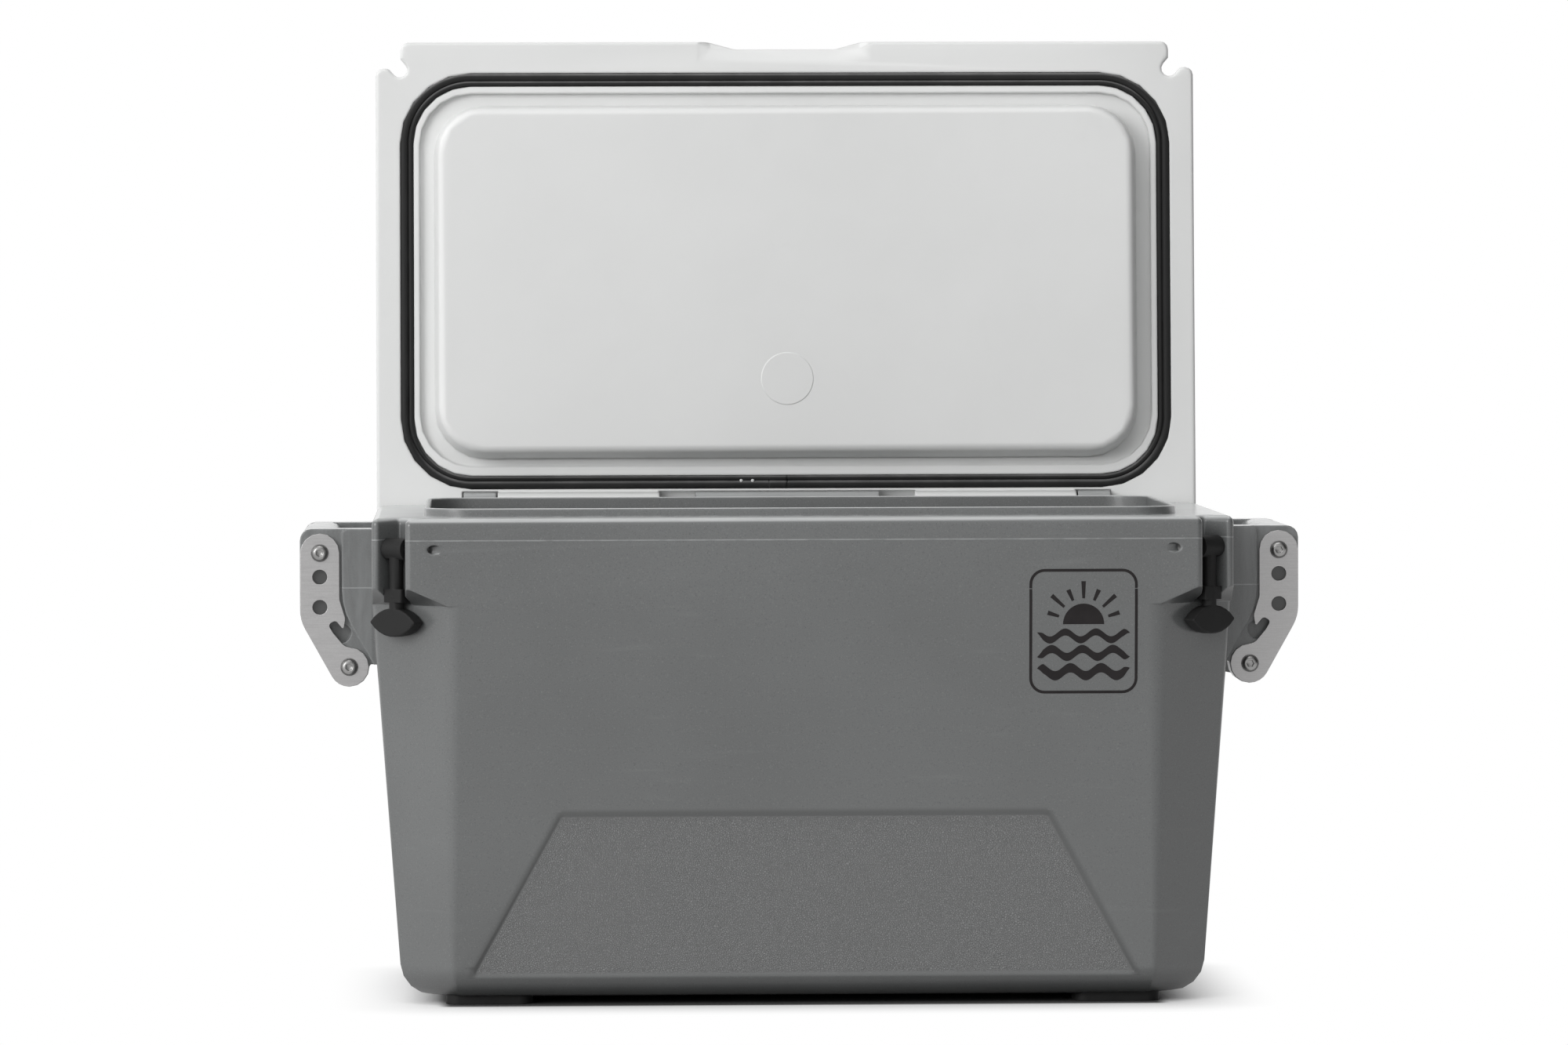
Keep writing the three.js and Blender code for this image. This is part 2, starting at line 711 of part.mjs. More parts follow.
// Moulded cheek behind a plate, a little larger than the plate outside and run into the wall.
function cheekOutline() {
  const { radius, inner, foot, knee } = lobeLine(cheekMargin);
  const root = handleRoot - upperBoltOut;
  const top = handleTop - upperBoltHeight;
  const corners = [
    point(root, top),
    point(root, cheekFoot),
    point(inner, cheekFoot),
    point(inner, foot.y),
    foot,
    knee,
    point(radius, top),
  ];
  const full = radius * fullArcShare;
  const radii = [0, 0, channelInnerRound, full, full, plateKneeRound, handleTopRound];
  return roundedOutline(corners, radii, 0, arcSteps + 1);
}

function webOutline() {
  const root = handleRoot - upperBoltOut;
  const top = handleTop - upperBoltHeight;
  const corners = [
    point(root, top),
    point(root, cheekFoot),
    point(-webFootIn, cheekFoot),
    point(-webEdge, -webKneeDrop),
    point(-webEdge, top),
  ];
  return roundedOutline(corners, [0, 0, 0, webKneeRound, webTopRound], 0, arcSteps);
}

// Room behind the bottle opener's notch for the edge of a cap.
function openerPocketOutline() {
  const tip = openerPoint(4);
  const mouth = point(-boltStepIn, openerPoint(6).y + openerPocketHalf);
  const along = mouth.clone().sub(tip).normalize();
  const across = point(-along.y, along.x).multiplyScalar(openerPocketHalf);
  const corners = [
    tip.clone().sub(across),
    mouth.clone().sub(across),
    mouth.clone().add(across),
    tip.clone().add(across),
  ];
  return roundedOutline(corners.reverse(), openerPocketRound, 0, arcSteps);
}

const onHandle = (outline, side) =>
  outline.map((p) => point(side * (upperBoltOut + p.x), upperBoltHeight + p.y));
const boltSpots = () => [point(0, 0), point(-boltStepIn, -boltDrop)];

// A span of depths behind the front, at the front end (-1) or mirrored at the back (1).
const spanAt = (end, from, to) => (end > 0 ? [rimDepth - to, rimDepth - from] : [from, to]);
function boltBar(side, end, spot, from, to, radius, sides) {
  const out = side * (upperBoltOut + spot.x);
  return barAlongY(out, upperBoltHeight + spot.y, ...spanAt(end, from, to), radius, sides);
}

// Moulded handle lug: two cheeks, their proud webs, and the rail between them.
function handleLug(side) {
  const [, lower] = boltSpots();
  const cheekBack = handleFront + cheekThickness;
  const insertBack = cheekFace + 2 * seatGap + insertLength;
  const cheeks = [-1, 1].map((end) => {
    const cheek = prismAlongY(onHandle(cheekOutline(), side), ...spanAt(end, cheekFace, cheekBack));
    const pocket = prismAlongY(
      onHandle(openerPocketOutline(), side),
      ...spanAt(end, cheekFace - overrun, cheekFace + openerPocketDepth),
    );
    const web = prismAlongY(onHandle(webOutline(), side), ...spanAt(end, handleFront, cheekBack));
    const room = plateHalfWidth + webGap;
    const lobeRoom = boltBar(side, end, lower, handleFront - overrun, cheekFace, room, roundSides);
    return joined(cutBy(cheek, pocket), cutBy(web, lobeRoom));
  });
  const seats = [-1, 1].flatMap((end) =>
    boltSpots().map((spot) =>
      boltBar(side, end, spot, cheekFace - overrun, insertBack, insertRadius + seatGap, 6),
    ),
  );
  const rail = roundedOutline(
    rectangle(halfWidth + railReach, rimHeight - railDrop, handleOut, handleTop),
    [railRound, railRound, handleTopRound, railRound],
    0,
    arcSteps,
  ).map((p) => point(side * p.x, p.y));
  const railFront = handleFront + cheekThickness / 2;
  return cutBy(joined(...cheeks, prismAlongY(rail, railFront, rimDepth - railFront)), ...seats);
}

function latchPinHole(side) {
  const at = (across) => place(nearPivot(side, 0, across).x, nearPivot(side, 0, across).y, pivotHeight);
  return bar(at(-2 * pinPanelReach), at(pinEarReach + seatGap), pinHoleRadius, boreSides);
}

const drainSeat = lipHalfWidth - cavityInset(drainHeight - drainNutRadius);
const drainBar = (from, to, radius, sides) => barAlongX(drainY, drainHeight, from, to, radius, sides);

function drainCuts() {
  const half = drainRecessHalf;
  const outline = roundedOutline(
    rectangle(drainY - half, drainHeight - half, drainY + half, drainHeight + half),
    drainRecessRound,
    0,
    arcSteps,
  );
  return [
    prismAlongX(outline, drainFace, halfWidth + overrun),
    drainBar(drainSeat - overrun, drainFace + overrun, drainTubeRadius + seatGap, roundSides),
    drainBar(drainSeat - 2 * drainNut, drainSeat, drainNutRadius + runningGap, roundSides),
  ];
}

function footBlock(x, y, bottom, top, gap) {
  const outline = rectangle(x - footLength / 2, y - footWidth / 2, x + footLength / 2, y + footWidth / 2);
  return prism(roundedOutline(outline, footRound, -gap, arcSteps), bottom, top);
}

function bodyShell() {
  const outer = joined(
    loft(draftedLevels(footHeight, bandBottom + overrun, 0, wideArcSteps)),
    rimBand(),
    rimLip(),
    bodyKnuckles(),
    handleLug(1),
    handleLug(-1),
  );
  const screwTop = footScrewHeadHeight + footScrewLength + seatGap;
  const ports = foamPorts().map(([x, y]) =>
    barAlongZ(x, y, footHeight - overrun, footHeight + baseSkin + overrun, foamPortRadius, roundSides),
  );
  const footRecesses = footPlaces().map(([x, y]) =>
    footBlock(x, y, footHeight - overrun, footThickness + seatGap, seatGap),
  );
  const screwHoles = footPlaces().map(([x, y]) =>
    barAlongZ(x, y, footHeight, screwTop, footScrewRadius + seatGap, coarseSides),
  );
  const solid = cutBy(
    outer,
    cavity(0, rimHeight + lipHeight),
    bodyFoamSpace(0),
    frontRecess(),
    latchPinHole(1),
    latchPinHole(-1),
    hingeBars(hingeBodyBore, hingePinStart - seatGap, sideKnuckleEnd + overrun, boreSides),
    hingeBars(knuckleRadius + runningGap, centreTierHalf, sideKnuckleStart, roundSides),
    ...drainCuts(),
    ...ports,
    ...footRecesses,
    ...screwHoles,
  );
  return piece("body_shell", solid, bodyPlastic);
}

function bodyInsides() {
  const plugs = foamPorts().map(([x, y], i) => {
    const top = footHeight + foamPortPlugDepth;
    const plug = barAlongZ(x, y, footHeight, top, foamPortRadius - seatGap, roundSides);
    return piece(`body_foam_plug_${i ? "right" : "left"}`, plug, bodyPlastic);
  });
  return [piece("body_foam", bodyFoamSpace(seatGap), foamMaterial), ...plugs];
}

function feet() {
  return footPlaces().flatMap(([x, y], i) => {
    const where = `${i < 2 ? "left" : "right"}_${i % 2 ? "back" : "front"}`;
    const foot = cutBy(
      footBlock(x, y, 0, footThickness, 0),
      barAlongZ(x, y, -overrun, footScrewHeadHeight + seatGap, footScrewHead + seatGap, boreSides),
      barAlongZ(x, y, 0, footThickness + overrun, footScrewRadius + seatGap, coarseSides),
    );
    const screw = joined(
      barAlongZ(x, y, seatGap, footScrewHeadHeight, footScrewHead, boreSides),
      barAlongZ(x, y, seatGap, footScrewHeadHeight + footScrewLength, footScrewRadius, coarseSides),
    );
    return [piece(`foot_${where}`, foot, blackRubber), piece(`foot_screw_${where}`, screw, stainlessSteel)];
  });
}

const lidBottomShelf = lidUnder + shelfThickness;

// Lid up to the latch shelves: its plan has the front lobes, latch notches, ears and finger dip.
function lidSlab() {
  const corners = mirroredCorners([
    point(fingerHalfWidth, lidFront + fingerDip),
    point(fingerHalfWidth + fingerRun, lidFront),
    point(lobeEnd, lidFront),
    nearPivot(1, outAtX(lobeEnd, -notchRadius), -notchRadius),
    nearPivot(1, -notchRadius, -notchRadius),
    nearPivot(1, -notchRadius, notchRadius),
    nearPivot(1, outAtY(lidEarTop, notchRadius), notchRadius),
    point(lidHalfWidth, lidEarTop),
    point(lidHalfWidth, lidBack),
  ]);
  const notch = notchRadius * fullArcShare;
  const radii = mirroredRounds([
    fingerRound,
    fingerRound,
    lobeRound,
    notchMouthRound,
    notch,
    notch,
    lidEarInnerRound,
    lidEarRound,
    lidRearRound,
  ]);
  const at = (z, inset) => ({ z, outline: roundedOutline(corners, radii, inset, arcSteps) });
  const rounding = quarterRound(lidUnderRound, lidUnderRound, 2);
  return loft([...rounding.map(([inset, rise]) => at(lidUnder + rise, inset)), at(lidBottomShelf, 0)]);
}

// Lid above the shelves, with its rounded top and the two latch pockets.
function lidDome() {
  const corners = mirroredCorners([
    point(fingerHalfWidth, lidFront + fingerDip),
    point(fingerHalfWidth + fingerRun, lidFront),
    point(lidHalfWidth, lidFront),
    point(lidHalfWidth, lidBack),
  ]);
  const radii = mirroredRounds([fingerRound, fingerRound, lobeRound, lidRearRound]);
  const at = (z, inset) => {
    const lean = lidDraft * Math.max(z - lidBottomShelf, 0);
    return { z, outline: roundedOutline(corners, radii, lean + inset, arcSteps) };
  };
  const rounding = quarterRound(lidTopRound, lidTopRound, arcSteps + 1).reverse();
  const levels = [at(lidUnder + lidUnderRound, 0), at(lidBottomShelf, 0)];
  const dome = loft([...levels, ...rounding.map(([inset, drop]) => at(lidTop - drop, inset))]);
  return cutBy(dome, latchPocket(1), latchPocket(-1));
}

function latchPocket(side) {
  const corners = latchBlock(side, pocketDepth, pocketHalfWidth);
  const at = (z, grow) => ({ z, outline: roundedOutline(corners, pocketRound, -grow, arcSteps) });
  return loft([at(lidUnder, 0), at(lidTop - lidTopRound / 2, pocketLean), at(lidTop + overrun, pocketFlare)]);
}

// Bevel under the front edge for the fingers that lift the lid.
function fingerBevel() {
  const half = fingerHalfWidth + fingerRun;
  const at = (z, grow) => ({
    z,
    outline: rectangle(-half - grow, -overrun, half + grow, lidFront + fingerDip + grow),
  });
  const run = fingerBevelBack - lidFront - fingerDip;
  const slope = run / fingerBevelDepth;
  return loft([at(lidUnder - overrun, run + overrun * slope), at(lidUnder + fingerBevelDepth, 0)]);
}

const gasketHalf = halfWidth - gasketFromSide;
const gasketCorners = rectangle(-gasketHalf, gasketFront, gasketHalf, hinge.y - gasketFromHinge);
const gasketTop = lidUnder + gasketSeatDepth;

// Solid ring: a profile of [inset, z] points that rises outside and falls inside, carried round.
const carriedRing = (corners, radius, profile) =>
  solidOf(
    ringMesh(
      profile.map(([inset, z]) => ({ z, outline: roundedOutline(corners, radius, inset, wideArcSteps) })),
      true,
    ),
  );

const gasketSeat = () =>
  carriedRing(gasketCorners, gasketCornerRound, [
    [-seatGap, lidUnder - overrun],
    [-seatGap, gasketTop],
    [gasketWidth + seatGap, gasketTop],
    [gasketWidth + seatGap, lidUnder - overrun],
  ]);

// Plan of the insulating plug: how far its front, sides and back have come in at a height.
function lidPlug(skinInset, low, high) {
  const half = halfWidth - plugFromSide;
  const corners = rectangle(-half, plugFront, half, lipBack - lipThickness - plugBackGap);
  const at = (z, inset) => {
    const share = Math.max((lidUnder - z) / plugDrop, 0);
    const side = plugSideRun * share + inset;
    const insets = [side, side, plugBackRun * share + inset, side];
    return { z, outline: roundedOutline(corners, plugCornerRound, insets, wideArcSteps) };
  };
  const rounding = quarterRound(plugEdgeRound, plugEdgeRound, arcSteps);
  const levels = rounding.map(([inset, rise]) => at(low + rise, inset + skinInset));
  return loft([...levels, at(lidUnder, skinInset), at(high, skinInset)]);
}

// Foam space of the lid: the plug and the wide part above it, smaller all round by the gap.
function lidFoamSpace(gap) {
  const wall = lidSkin + gap;
  const tierBottom = hinge.z + knuckleRadius + runningGap + wall;
  const inset = wall + lidDraft * lidThickness;
  const corners = chamferedCorners(
    lidHalfWidth - inset,
    lidFront + fingerDip + inset,
    lidBack - inset,
    pocketDepth + pocketFlare + wall,
  );
  const wide = prism(roundedOutline(corners, lidTopRound, 0, arcSteps), tierBottom, lidTop - wall);
  return joined(wide, lidPlug(wall, lidUnder - plugDrop + wall, tierBottom + lidSkin));
}

// Room in the lid for the body's knuckles, open to the back below the cover.
function knuckleNotch(from, to) {
  const radius = knuckleRadius + runningGap;
  const outline = [
    point(hinge.y - radius, lidUnder - overrun),
    point(lidBack + overrun, lidUnder - overrun),
    point(lidBack + overrun, hinge.z + radius),
  ];
  for (let k = 0; k <= roundSides / 4; k++) {
    const angle = Math.PI / 2 + ((Math.PI / 2) * k) / (roundSides / 4);
    outline.push(point(hinge.y + radius * Math.cos(angle), hinge.z + radius * Math.sin(angle)));
  }
  return prismAlongX(outline, from, to);
}

const portHeight = lidTop - lidTopRound - foamPortRadius / 2;
const lidPortRadius = lidTopRound;
const lidPort = (from, to, radius) => barAlongY(0, portHeight, from, to, radius, roundSides);

function lidShell() {
  const grooveHalf = lipHalfWidth + grooveSideGap;
  const grooveCorners = rectangle(-grooveHalf, lipFront - grooveGap, grooveHalf, lipBack + grooveGap);
  const groove = prism(
    roundedOutline(grooveCorners, grooveCornerRound, 0, wideArcSteps),
    lidUnder - overrun,
    lidUnder + grooveDepth,
  );
  const blank = cutBy(joined(lidSlab(), lidDome()), groove, gasketSeat(), fingerBevel());
  const notchEnd = sideKnuckleEnd + runningGap;
  const notched = cutBy(
    blank,
    knuckleNotch(-lidKnuckleStart - knuckleTrim, lidKnuckleStart + knuckleTrim),
    knuckleNotch(lidKnuckleEnd - knuckleTrim, notchEnd),
    knuckleNotch(-notchEnd, knuckleTrim - lidKnuckleEnd),
  );
  const withPlug = joined(
    notched,
    lidPlug(0, lidUnder - plugDrop, lidUnder + grooveDepth + overrun),
    hingeBars(knuckleRadius, lidKnuckleStart, lidKnuckleEnd, roundSides),
  );
  const solid = cutBy(
    withPlug,
    hingeBars(hingeLidBore, lidKnuckleStart - overrun, lidKnuckleEnd + overrun, boreSides),
    lidFoamSpace(0),
    lidPort(lidBack - lidSkin - overrun, lidBack + overrun, lidPortRadius),
  );
  return piece("lid_shell", solid, lidPlastic);
}

function gasket() {
  const lobe = gasketWidth / 2;
  const flat = lobe * lobeFlatShare;
  const crown = lidUnder - gasketProud;
  const profile = [
    [0, lidUnder],
    [0, gasketTop - seatGap],
    [gasketWidth, gasketTop - seatGap],
    [gasketWidth, lidUnder],
    [gasketWidth - flat, crown],
    [lobe + flat, crown],
    [lobe, lidUnder],
    [lobe - flat, crown],
    [flat, crown],
  ];
  return piece("lid_gasket", carriedRing(gasketCorners, gasketCornerRound, profile), gasketRubber);
}

function lidPieces() {
  const inset = lidSkin + lidDraft * lidThickness;
  const plug = lidPort(lidBack - inset + runningGap, lidBack - inset + lidSkin, lidPortRadius - seatGap);
  return [
    lidShell(),
    piece("lid_foam", lidFoamSpace(seatGap), foamMaterial),
    piece("lid_foam_plug", plug, lidPlastic),
    gasket(),
  ];
}

// Lens-shaped grip, drawn in X and Z and thick along Y, with its edges rounded.
function latchGrip() {
  const half = gripWidth / 2;
  const rise = gripHeight / 2;
  const arc = (half * half + rise * rise) / (2 * rise);
  const tangentHeight = half * Math.tan(Math.asin(half / arc));
  const corners = [point(-half, 0), point(0, -tangentHeight), point(half, 0), point(0, tangentHeight)];
  const wide = arc * gripArcShare;
  const at = (z, inset) => ({
    z,
    outline: roundedOutline(corners, [gripTipRound, wide, gripTipRound, wide], inset, gripArcSteps),
  });
  const face = gripThickness / 2;
  const edge = quarterRound(gripEdgeRound, gripEdgeRound, 2);
  const lower = edge.map(([inset, rise]) => at(rise - face, inset));
  const upper = edge.reverse().map(([inset, drop]) => at(face - drop, inset));
  const geometry = ringMesh([...lower, ...upper], false);
  geometry.rotateX(Math.PI / 2);
  geometry.translate(0, 0, -gripDrop);
  return solidOf(geometry);
}

// Latch hanging from its pin: barrel, stem, collar, neck and grip in one piece of rubber.
function latch(name, side) {
  const collarHalf = collarWidth / 2;
  const collarFace = collarThickness / 2;
  const collarOutline = rectangle(-collarHalf, -collarFace, collarHalf, collarFace);
  const collarMiddle = collarDrop + collarHeight / 2;
  const barrelEnds = side > 0 ? [-barrelInner, barrelOuter] : [-barrelOuter, barrelInner];
  const solid = joined(
    barAlongX(0, 0, ...barrelEnds, barrelRadius, roundSides),
    barAlongZ(0, 0, -collarMiddle, 0, stemRadius, boreSides),
    prism(roundedOutline(collarOutline, collarRound, 0, 2), -collarDrop - collarHeight, -collarDrop),
    barAlongZ(0, 0, -gripDrop, -collarMiddle, neckRadius, boreSides),
    latchGrip(),
  );
  const bored = cutBy(solid, barAlongX(0, 0, -2 * barrelInner, 2 * barrelInner, barrelBore, boreSides));
  const mesh = piece(name, bored, blackRubber);
  mesh.position.set(pivotAt(side).x, pivotAt(side).y, pivotHeight);
  mesh.rotation.z = side * latchTurn;
  return mesh;
}

function latchPin(name, side) {
  const rod = barAlongX(0, 0, -pinPanelReach, pinEarReach, latchPinRadius, boreSides);
  const mesh = piece(name, rod, stainlessSteel);
  mesh.position.set(pivotAt(side).x, pivotAt(side).y, pivotHeight);
  mesh.rotation.z = side > 0 ? latchTurn : Math.PI - latchTurn;
  return mesh;
}

function handlePlate(name, side, end) {
  const span = spanAt(end, handleFront, handleFront + plateThickness);
  const through = [handleFront - overrun, cheekFace + overrun];
  const holes = [
    ...boltSpots().map((spot) => boltBar(side, end, spot, ...through, boltHole, boreSides)),
    ...plateHoleShares.map((share) =>
      boltBar(side, end, point(0, share * boltDrop), ...through, plateHoleRadius, roundSides),
    ),
  ];
  const plate = prismAlongY(onHandle(plateOutline(), side), ...span);
  return piece(name, cutBy(plate, ...holes), brushedAluminium);
}

// Button-headed bolt with its head towards -Y and the plate's face at Y = 0.
function plateBolt(name, side, end, spot) {
  const crown = boltHeadHeight + seatGap;
  const profile = [
    point(0, -crown),
    point(boltHeadRadius * boltCrownShare, -crown),
    point(boltHeadRadius * boltShoulderShare, -boltHeadHeight * boltShoulderShare - seatGap),
    point(boltHeadRadius, -boltHeadHeight * boltRimShare - seatGap),
    point(boltHeadRadius, -seatGap),
    point(boltRadius, -seatGap),
    point(boltRadius, boltLength),
    point(0, boltLength),
  ];
  const turned = solidOf(new THREE.LatheGeometry(profile, boreSides));
  const socket = barAlongY(0, 0, -crown - overrun, boltSocketDepth - crown, boltSocketRadius, 6);
  const mesh = piece(name, cutBy(turned, socket), stainlessSteel);
  mesh.position.set(
    side * (upperBoltOut + spot.x),
    end > 0 ? rimDepth - handleFront : handleFront,
    upperBoltHeight + spot.y,
  );
  mesh.rotation.z = end > 0 ? Math.PI : 0;
  return mesh;
}

function threadedInsert(name, side, end, spot) {
  const from = cheekFace + seatGap;
  const solid = cutBy(
    boltBar(side, end, spot, from, from + insertLength, insertRadius, 6),
    boltBar(side, end, spot, from - overrun, from + insertLength + overrun, insertBore, boreSides),
  );
  return piece(name, solid, brass);
}

function handleHardware() {
  return [-1, 1].flatMap((side) =>
    [-1, 1].flatMap((end) => {
      const where = `${side > 0 ? "right" : "left"}_${end > 0 ? "back" : "front"}`;
      const fixings = boltSpots().flatMap((spot, i) => {
        const level = i ? "lower" : "upper";
        return [
          plateBolt(`plate_bolt_${where}_${level}`, side, end, spot),
          threadedInsert(`plate_insert_${where}_${level}`, side, end, spot),
        ];
      });
      return [handlePlate(`handle_plate_${where}`, side, end), ...fixings];
    }),
  );
}

// Drain: a flanged tube through the wall, a washer outside, a nut inside, and a screw plug.
function drainPieces() {
  const washerFace = drainFace + seatGap;
  const flangeFace = washerFace + drainWasher + seatGap;
  const knobFace = flangeFace + drainFlange + seatGap;
  const innerEnd = drainSeat - drainNut - seatGap;
  const washer = cutBy(
    drainBar(washerFace, washerFace + drainWasher, drainFlangeRadius, roundSides),
    drainBar(washerFace - overrun, knobFace, drainTubeRadius + seatGap, roundSides),
  );
  const fitting = cutBy(
    joined(
      drainBar(innerEnd - seatGap, flangeFace + drainFlange / 2, drainTubeRadius, roundSides),
      drainBar(flangeFace, flangeFace + drainFlange, drainFlangeRadius, roundSides),
    ),
    drainBar(innerEnd - overrun, knobFace + overrun, drainBore, roundSides),
  );
  const nut = cutBy(
    drainBar(drainSeat - drainNut - seatGap, drainSeat - seatGap, drainNutRadius, 6),
    drainBar(innerEnd - overrun, drainSeat + overrun, drainTubeRadius + seatGap, roundSides),
  );
  return [
    piece("drain_washer", washer, blackRubber),
    piece("drain_fitting", fitting, drainPlastic),
    piece("drain_nut", nut, drainPlastic),
    drainPlug(knobFace),
  ];
}

// Screw plug with a lobed knob; it is drawn upright and then laid along X.
function drainPlug(knobFace) {
  const at = (z, inset) => {
    const outline = [];
    const count = drainGripLobes * wideArcSteps;
    for (let i = 0; i < count; i++) {
      const angle = (2 * Math.PI * i) / count;
      const dip = (1 - Math.cos(drainGripLobes * angle)) / 2;
      const radius = (drainPlugRadius - inset) * (1 - drainGripShare * dip);
      outline.push(point(radius * Math.cos(angle), radius * Math.sin(angle)));
    }
    return { z, outline };
  };
  const rounding = quarterRound(drainPlugEdge, drainPlugEdge, 2).reverse();
  const levels = [at(0, 0), ...rounding.map(([inset, drop]) => at(drainPlugHeight - drop, inset))];
  const shank = barAlongZ(0, 0, -drainPlugShankLength, drainPlugEdge, drainPlugShank, roundSides);
  const mesh = piece("drain_plug", joined(loft(levels), shank), drainPlastic);
  mesh.position.set(knobFace, drainY, drainHeight);
  mesh.rotation.y = Math.PI / 2;
  return mesh;
}

function hingePin(name, side) {
  const ends = [side * hingePinStart, side * (sideKnuckleEnd - knuckleGap)].sort((a, b) => a - b);
  return piece(name, barAlongX(hinge.y, hinge.z, ...ends, hingePinRadius, boreSides), stainlessSteel);
}

const model = new THREE.Group();
const lid = new THREE.Group();
lid.name = "lid";
for (const mesh of lidPieces()) {
  mesh.position.set(0, -hinge.y, -hinge.z);
  lid.add(mesh);
}
lid.position.set(0, hinge.y, hinge.z);
lid.rotation.x = -lidOpen;
model.add(
  bodyShell(),
  ...bodyInsides(),
  ...feet(),
  lid,
  hingePin("hinge_pin_left", -1),
  hingePin("hinge_pin_right", 1),
  latch("latch_left", -1),
  latch("latch_right", 1),
  latchPin("latch_pin_left", -1),
  latchPin("latch_pin_right", 1),
  ...handleHardware(),
  ...drainPieces(),
);
model.updateMatrixWorld(true);
const extent = new THREE.Box3().setFromObject(model, true);
const middle = extent.getCenter(new THREE.Vector3());
model.position.set(-middle.x, -middle.y, -extent.min.z);

const root = new THREE.Group();
root.name = "boat_cooler";
root.add(model);
export default root;
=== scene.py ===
import math

import bmesh
import bpy
from mathutils import Matrix, Vector


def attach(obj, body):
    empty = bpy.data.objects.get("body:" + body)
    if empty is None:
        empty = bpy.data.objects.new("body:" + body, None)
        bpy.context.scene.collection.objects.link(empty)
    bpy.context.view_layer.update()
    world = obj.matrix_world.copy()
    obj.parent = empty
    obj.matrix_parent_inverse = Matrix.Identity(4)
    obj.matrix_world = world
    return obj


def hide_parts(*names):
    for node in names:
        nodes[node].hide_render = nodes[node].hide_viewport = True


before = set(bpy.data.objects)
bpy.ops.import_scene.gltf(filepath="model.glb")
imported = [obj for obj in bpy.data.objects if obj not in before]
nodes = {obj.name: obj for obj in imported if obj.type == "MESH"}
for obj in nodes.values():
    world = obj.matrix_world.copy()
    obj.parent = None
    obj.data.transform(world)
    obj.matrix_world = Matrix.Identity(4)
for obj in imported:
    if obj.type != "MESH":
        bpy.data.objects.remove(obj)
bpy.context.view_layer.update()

# Dresses the boat cooler: finishes on the frame's solids, the gasket, the bolts and the badge as
# pieces of their own, then the floor, the light and the camera.

# Sizes of the model, in mm, that the added pieces are placed by. The frame's Y is the model's
# Y less MID_DEPTH, and the walls lean in by WALL_DRAFT below the band.
MID_DEPTH = 247.2706
HINGE_DEPTH = 418.0
HINGE_HEIGHT = 415.25
LID_TURN = math.radians(-94)
LID_UNDER = 417.3
WALL_DRAFT = 0.0738
BAND_BOTTOM = 341.6
LOWER_BOLT = (387.0, 285.8)
UPPER_BOLT = (411.9, 383.6)
PLATE_FRONT = 103.0
PLATE_BACK = 311.0

# Places that the finishes depend on, in metres of the frame.
# Sunken panel of the front: heights of its ends and half its width at each.
RECESS_BOTTOM = 0.024
RECESS_TOP = 0.165
RECESS_HALF_LOW = 0.283
RECESS_HALF_HIGH = 0.2055
PANEL_EDGE = 0.004
# Half widths of the painted shade along the panel's slanted sides and top.
PANEL_SHADE_HALF_SIDE = 0.0065
PANEL_SHADE_HALF_TOP = 0.0045
FRONT_WALL = (-0.212, -0.216)
# Further out than this the side is a handle. The mould's line lies lower there than on the rim,
# and runs round the outside only, which the front is too, once its Y is scaled.
WEB_START = 0.3675
WEB_EDGE = 0.001
RIM_LINE = 0.397
WEB_LINE = 0.3535
LINE_HALF = 0.001
OUTSIDE = 0.334
FRONT_SCALE = -1.6
# Round holes of the handle plates, below the upper bolt.
HOLE_DROPS = (0.0205, 0.0465)
HOLE_RADIUS = (0.0062, 0.0072)
# Round boss on the open lid's pad; only faces before BOSS_BEFORE have it.
BOSS_HEIGHT = 0.5274
BOSS_RADIUS = (0.0226, 0.0238)
BOSS_BEFORE = 0.18


def at(x, y, z):
    """A point of the model, in mm, as a point of the frame, in metres."""
    return Vector((x, y - MID_DEPTH, z)) / 1000


def on_lid(x, y, z):
    """A point of the shut lid, in mm, as a point of the frame with the lid open."""
    dy = y - HINGE_DEPTH
    dz = z - HINGE_HEIGHT
    c = math.cos(LID_TURN)
    s = math.sin(LID_TURN)
    return at(x, HINGE_DEPTH + dy * c - dz * s, HINGE_HEIGHT + dy * s + dz * c)


# Camera: a long lens, a little left of the middle and above the lid's hinge. Turns in degrees.
LENS = 195.0
SENSOR = 36.0
CLIP_START = 0.1
CLIP_END = 200.0
CAMERA_PLACE = (-0.26605, -7.42567, 0.6413)
CAMERA_TURN = -1.984
CAMERA_DIP = 1.831
CAMERA_ROLL = -0.151


def make_camera():
    data = bpy.data.cameras.new("camera")
    data.lens = LENS
    data.sensor_width = SENSOR
    data.clip_start = CLIP_START
    data.clip_end = CLIP_END
    camera = bpy.data.objects.new("camera", data)
    turn = Matrix.Rotation(math.radians(CAMERA_TURN), 4, "Z")
    tilt = Matrix.Rotation(math.radians(90 - CAMERA_DIP), 4, "X")
    roll = Matrix.Rotation(math.radians(CAMERA_ROLL), 4, "Z")
    camera.matrix_world = Matrix.Translation(CAMERA_PLACE) @ turn @ tilt @ roll
    bpy.context.scene.collection.objects.link(camera)
    bpy.context.scene.camera = camera


make_camera()

WHITE = (1, 1, 1, 1)
BEVEL_SAMPLES = 6
# Cosines of a softened normal's lean from the true one: where edge wear starts and is full.
WEAR_STARTS = 0.995
WEAR_FULL = 0.86


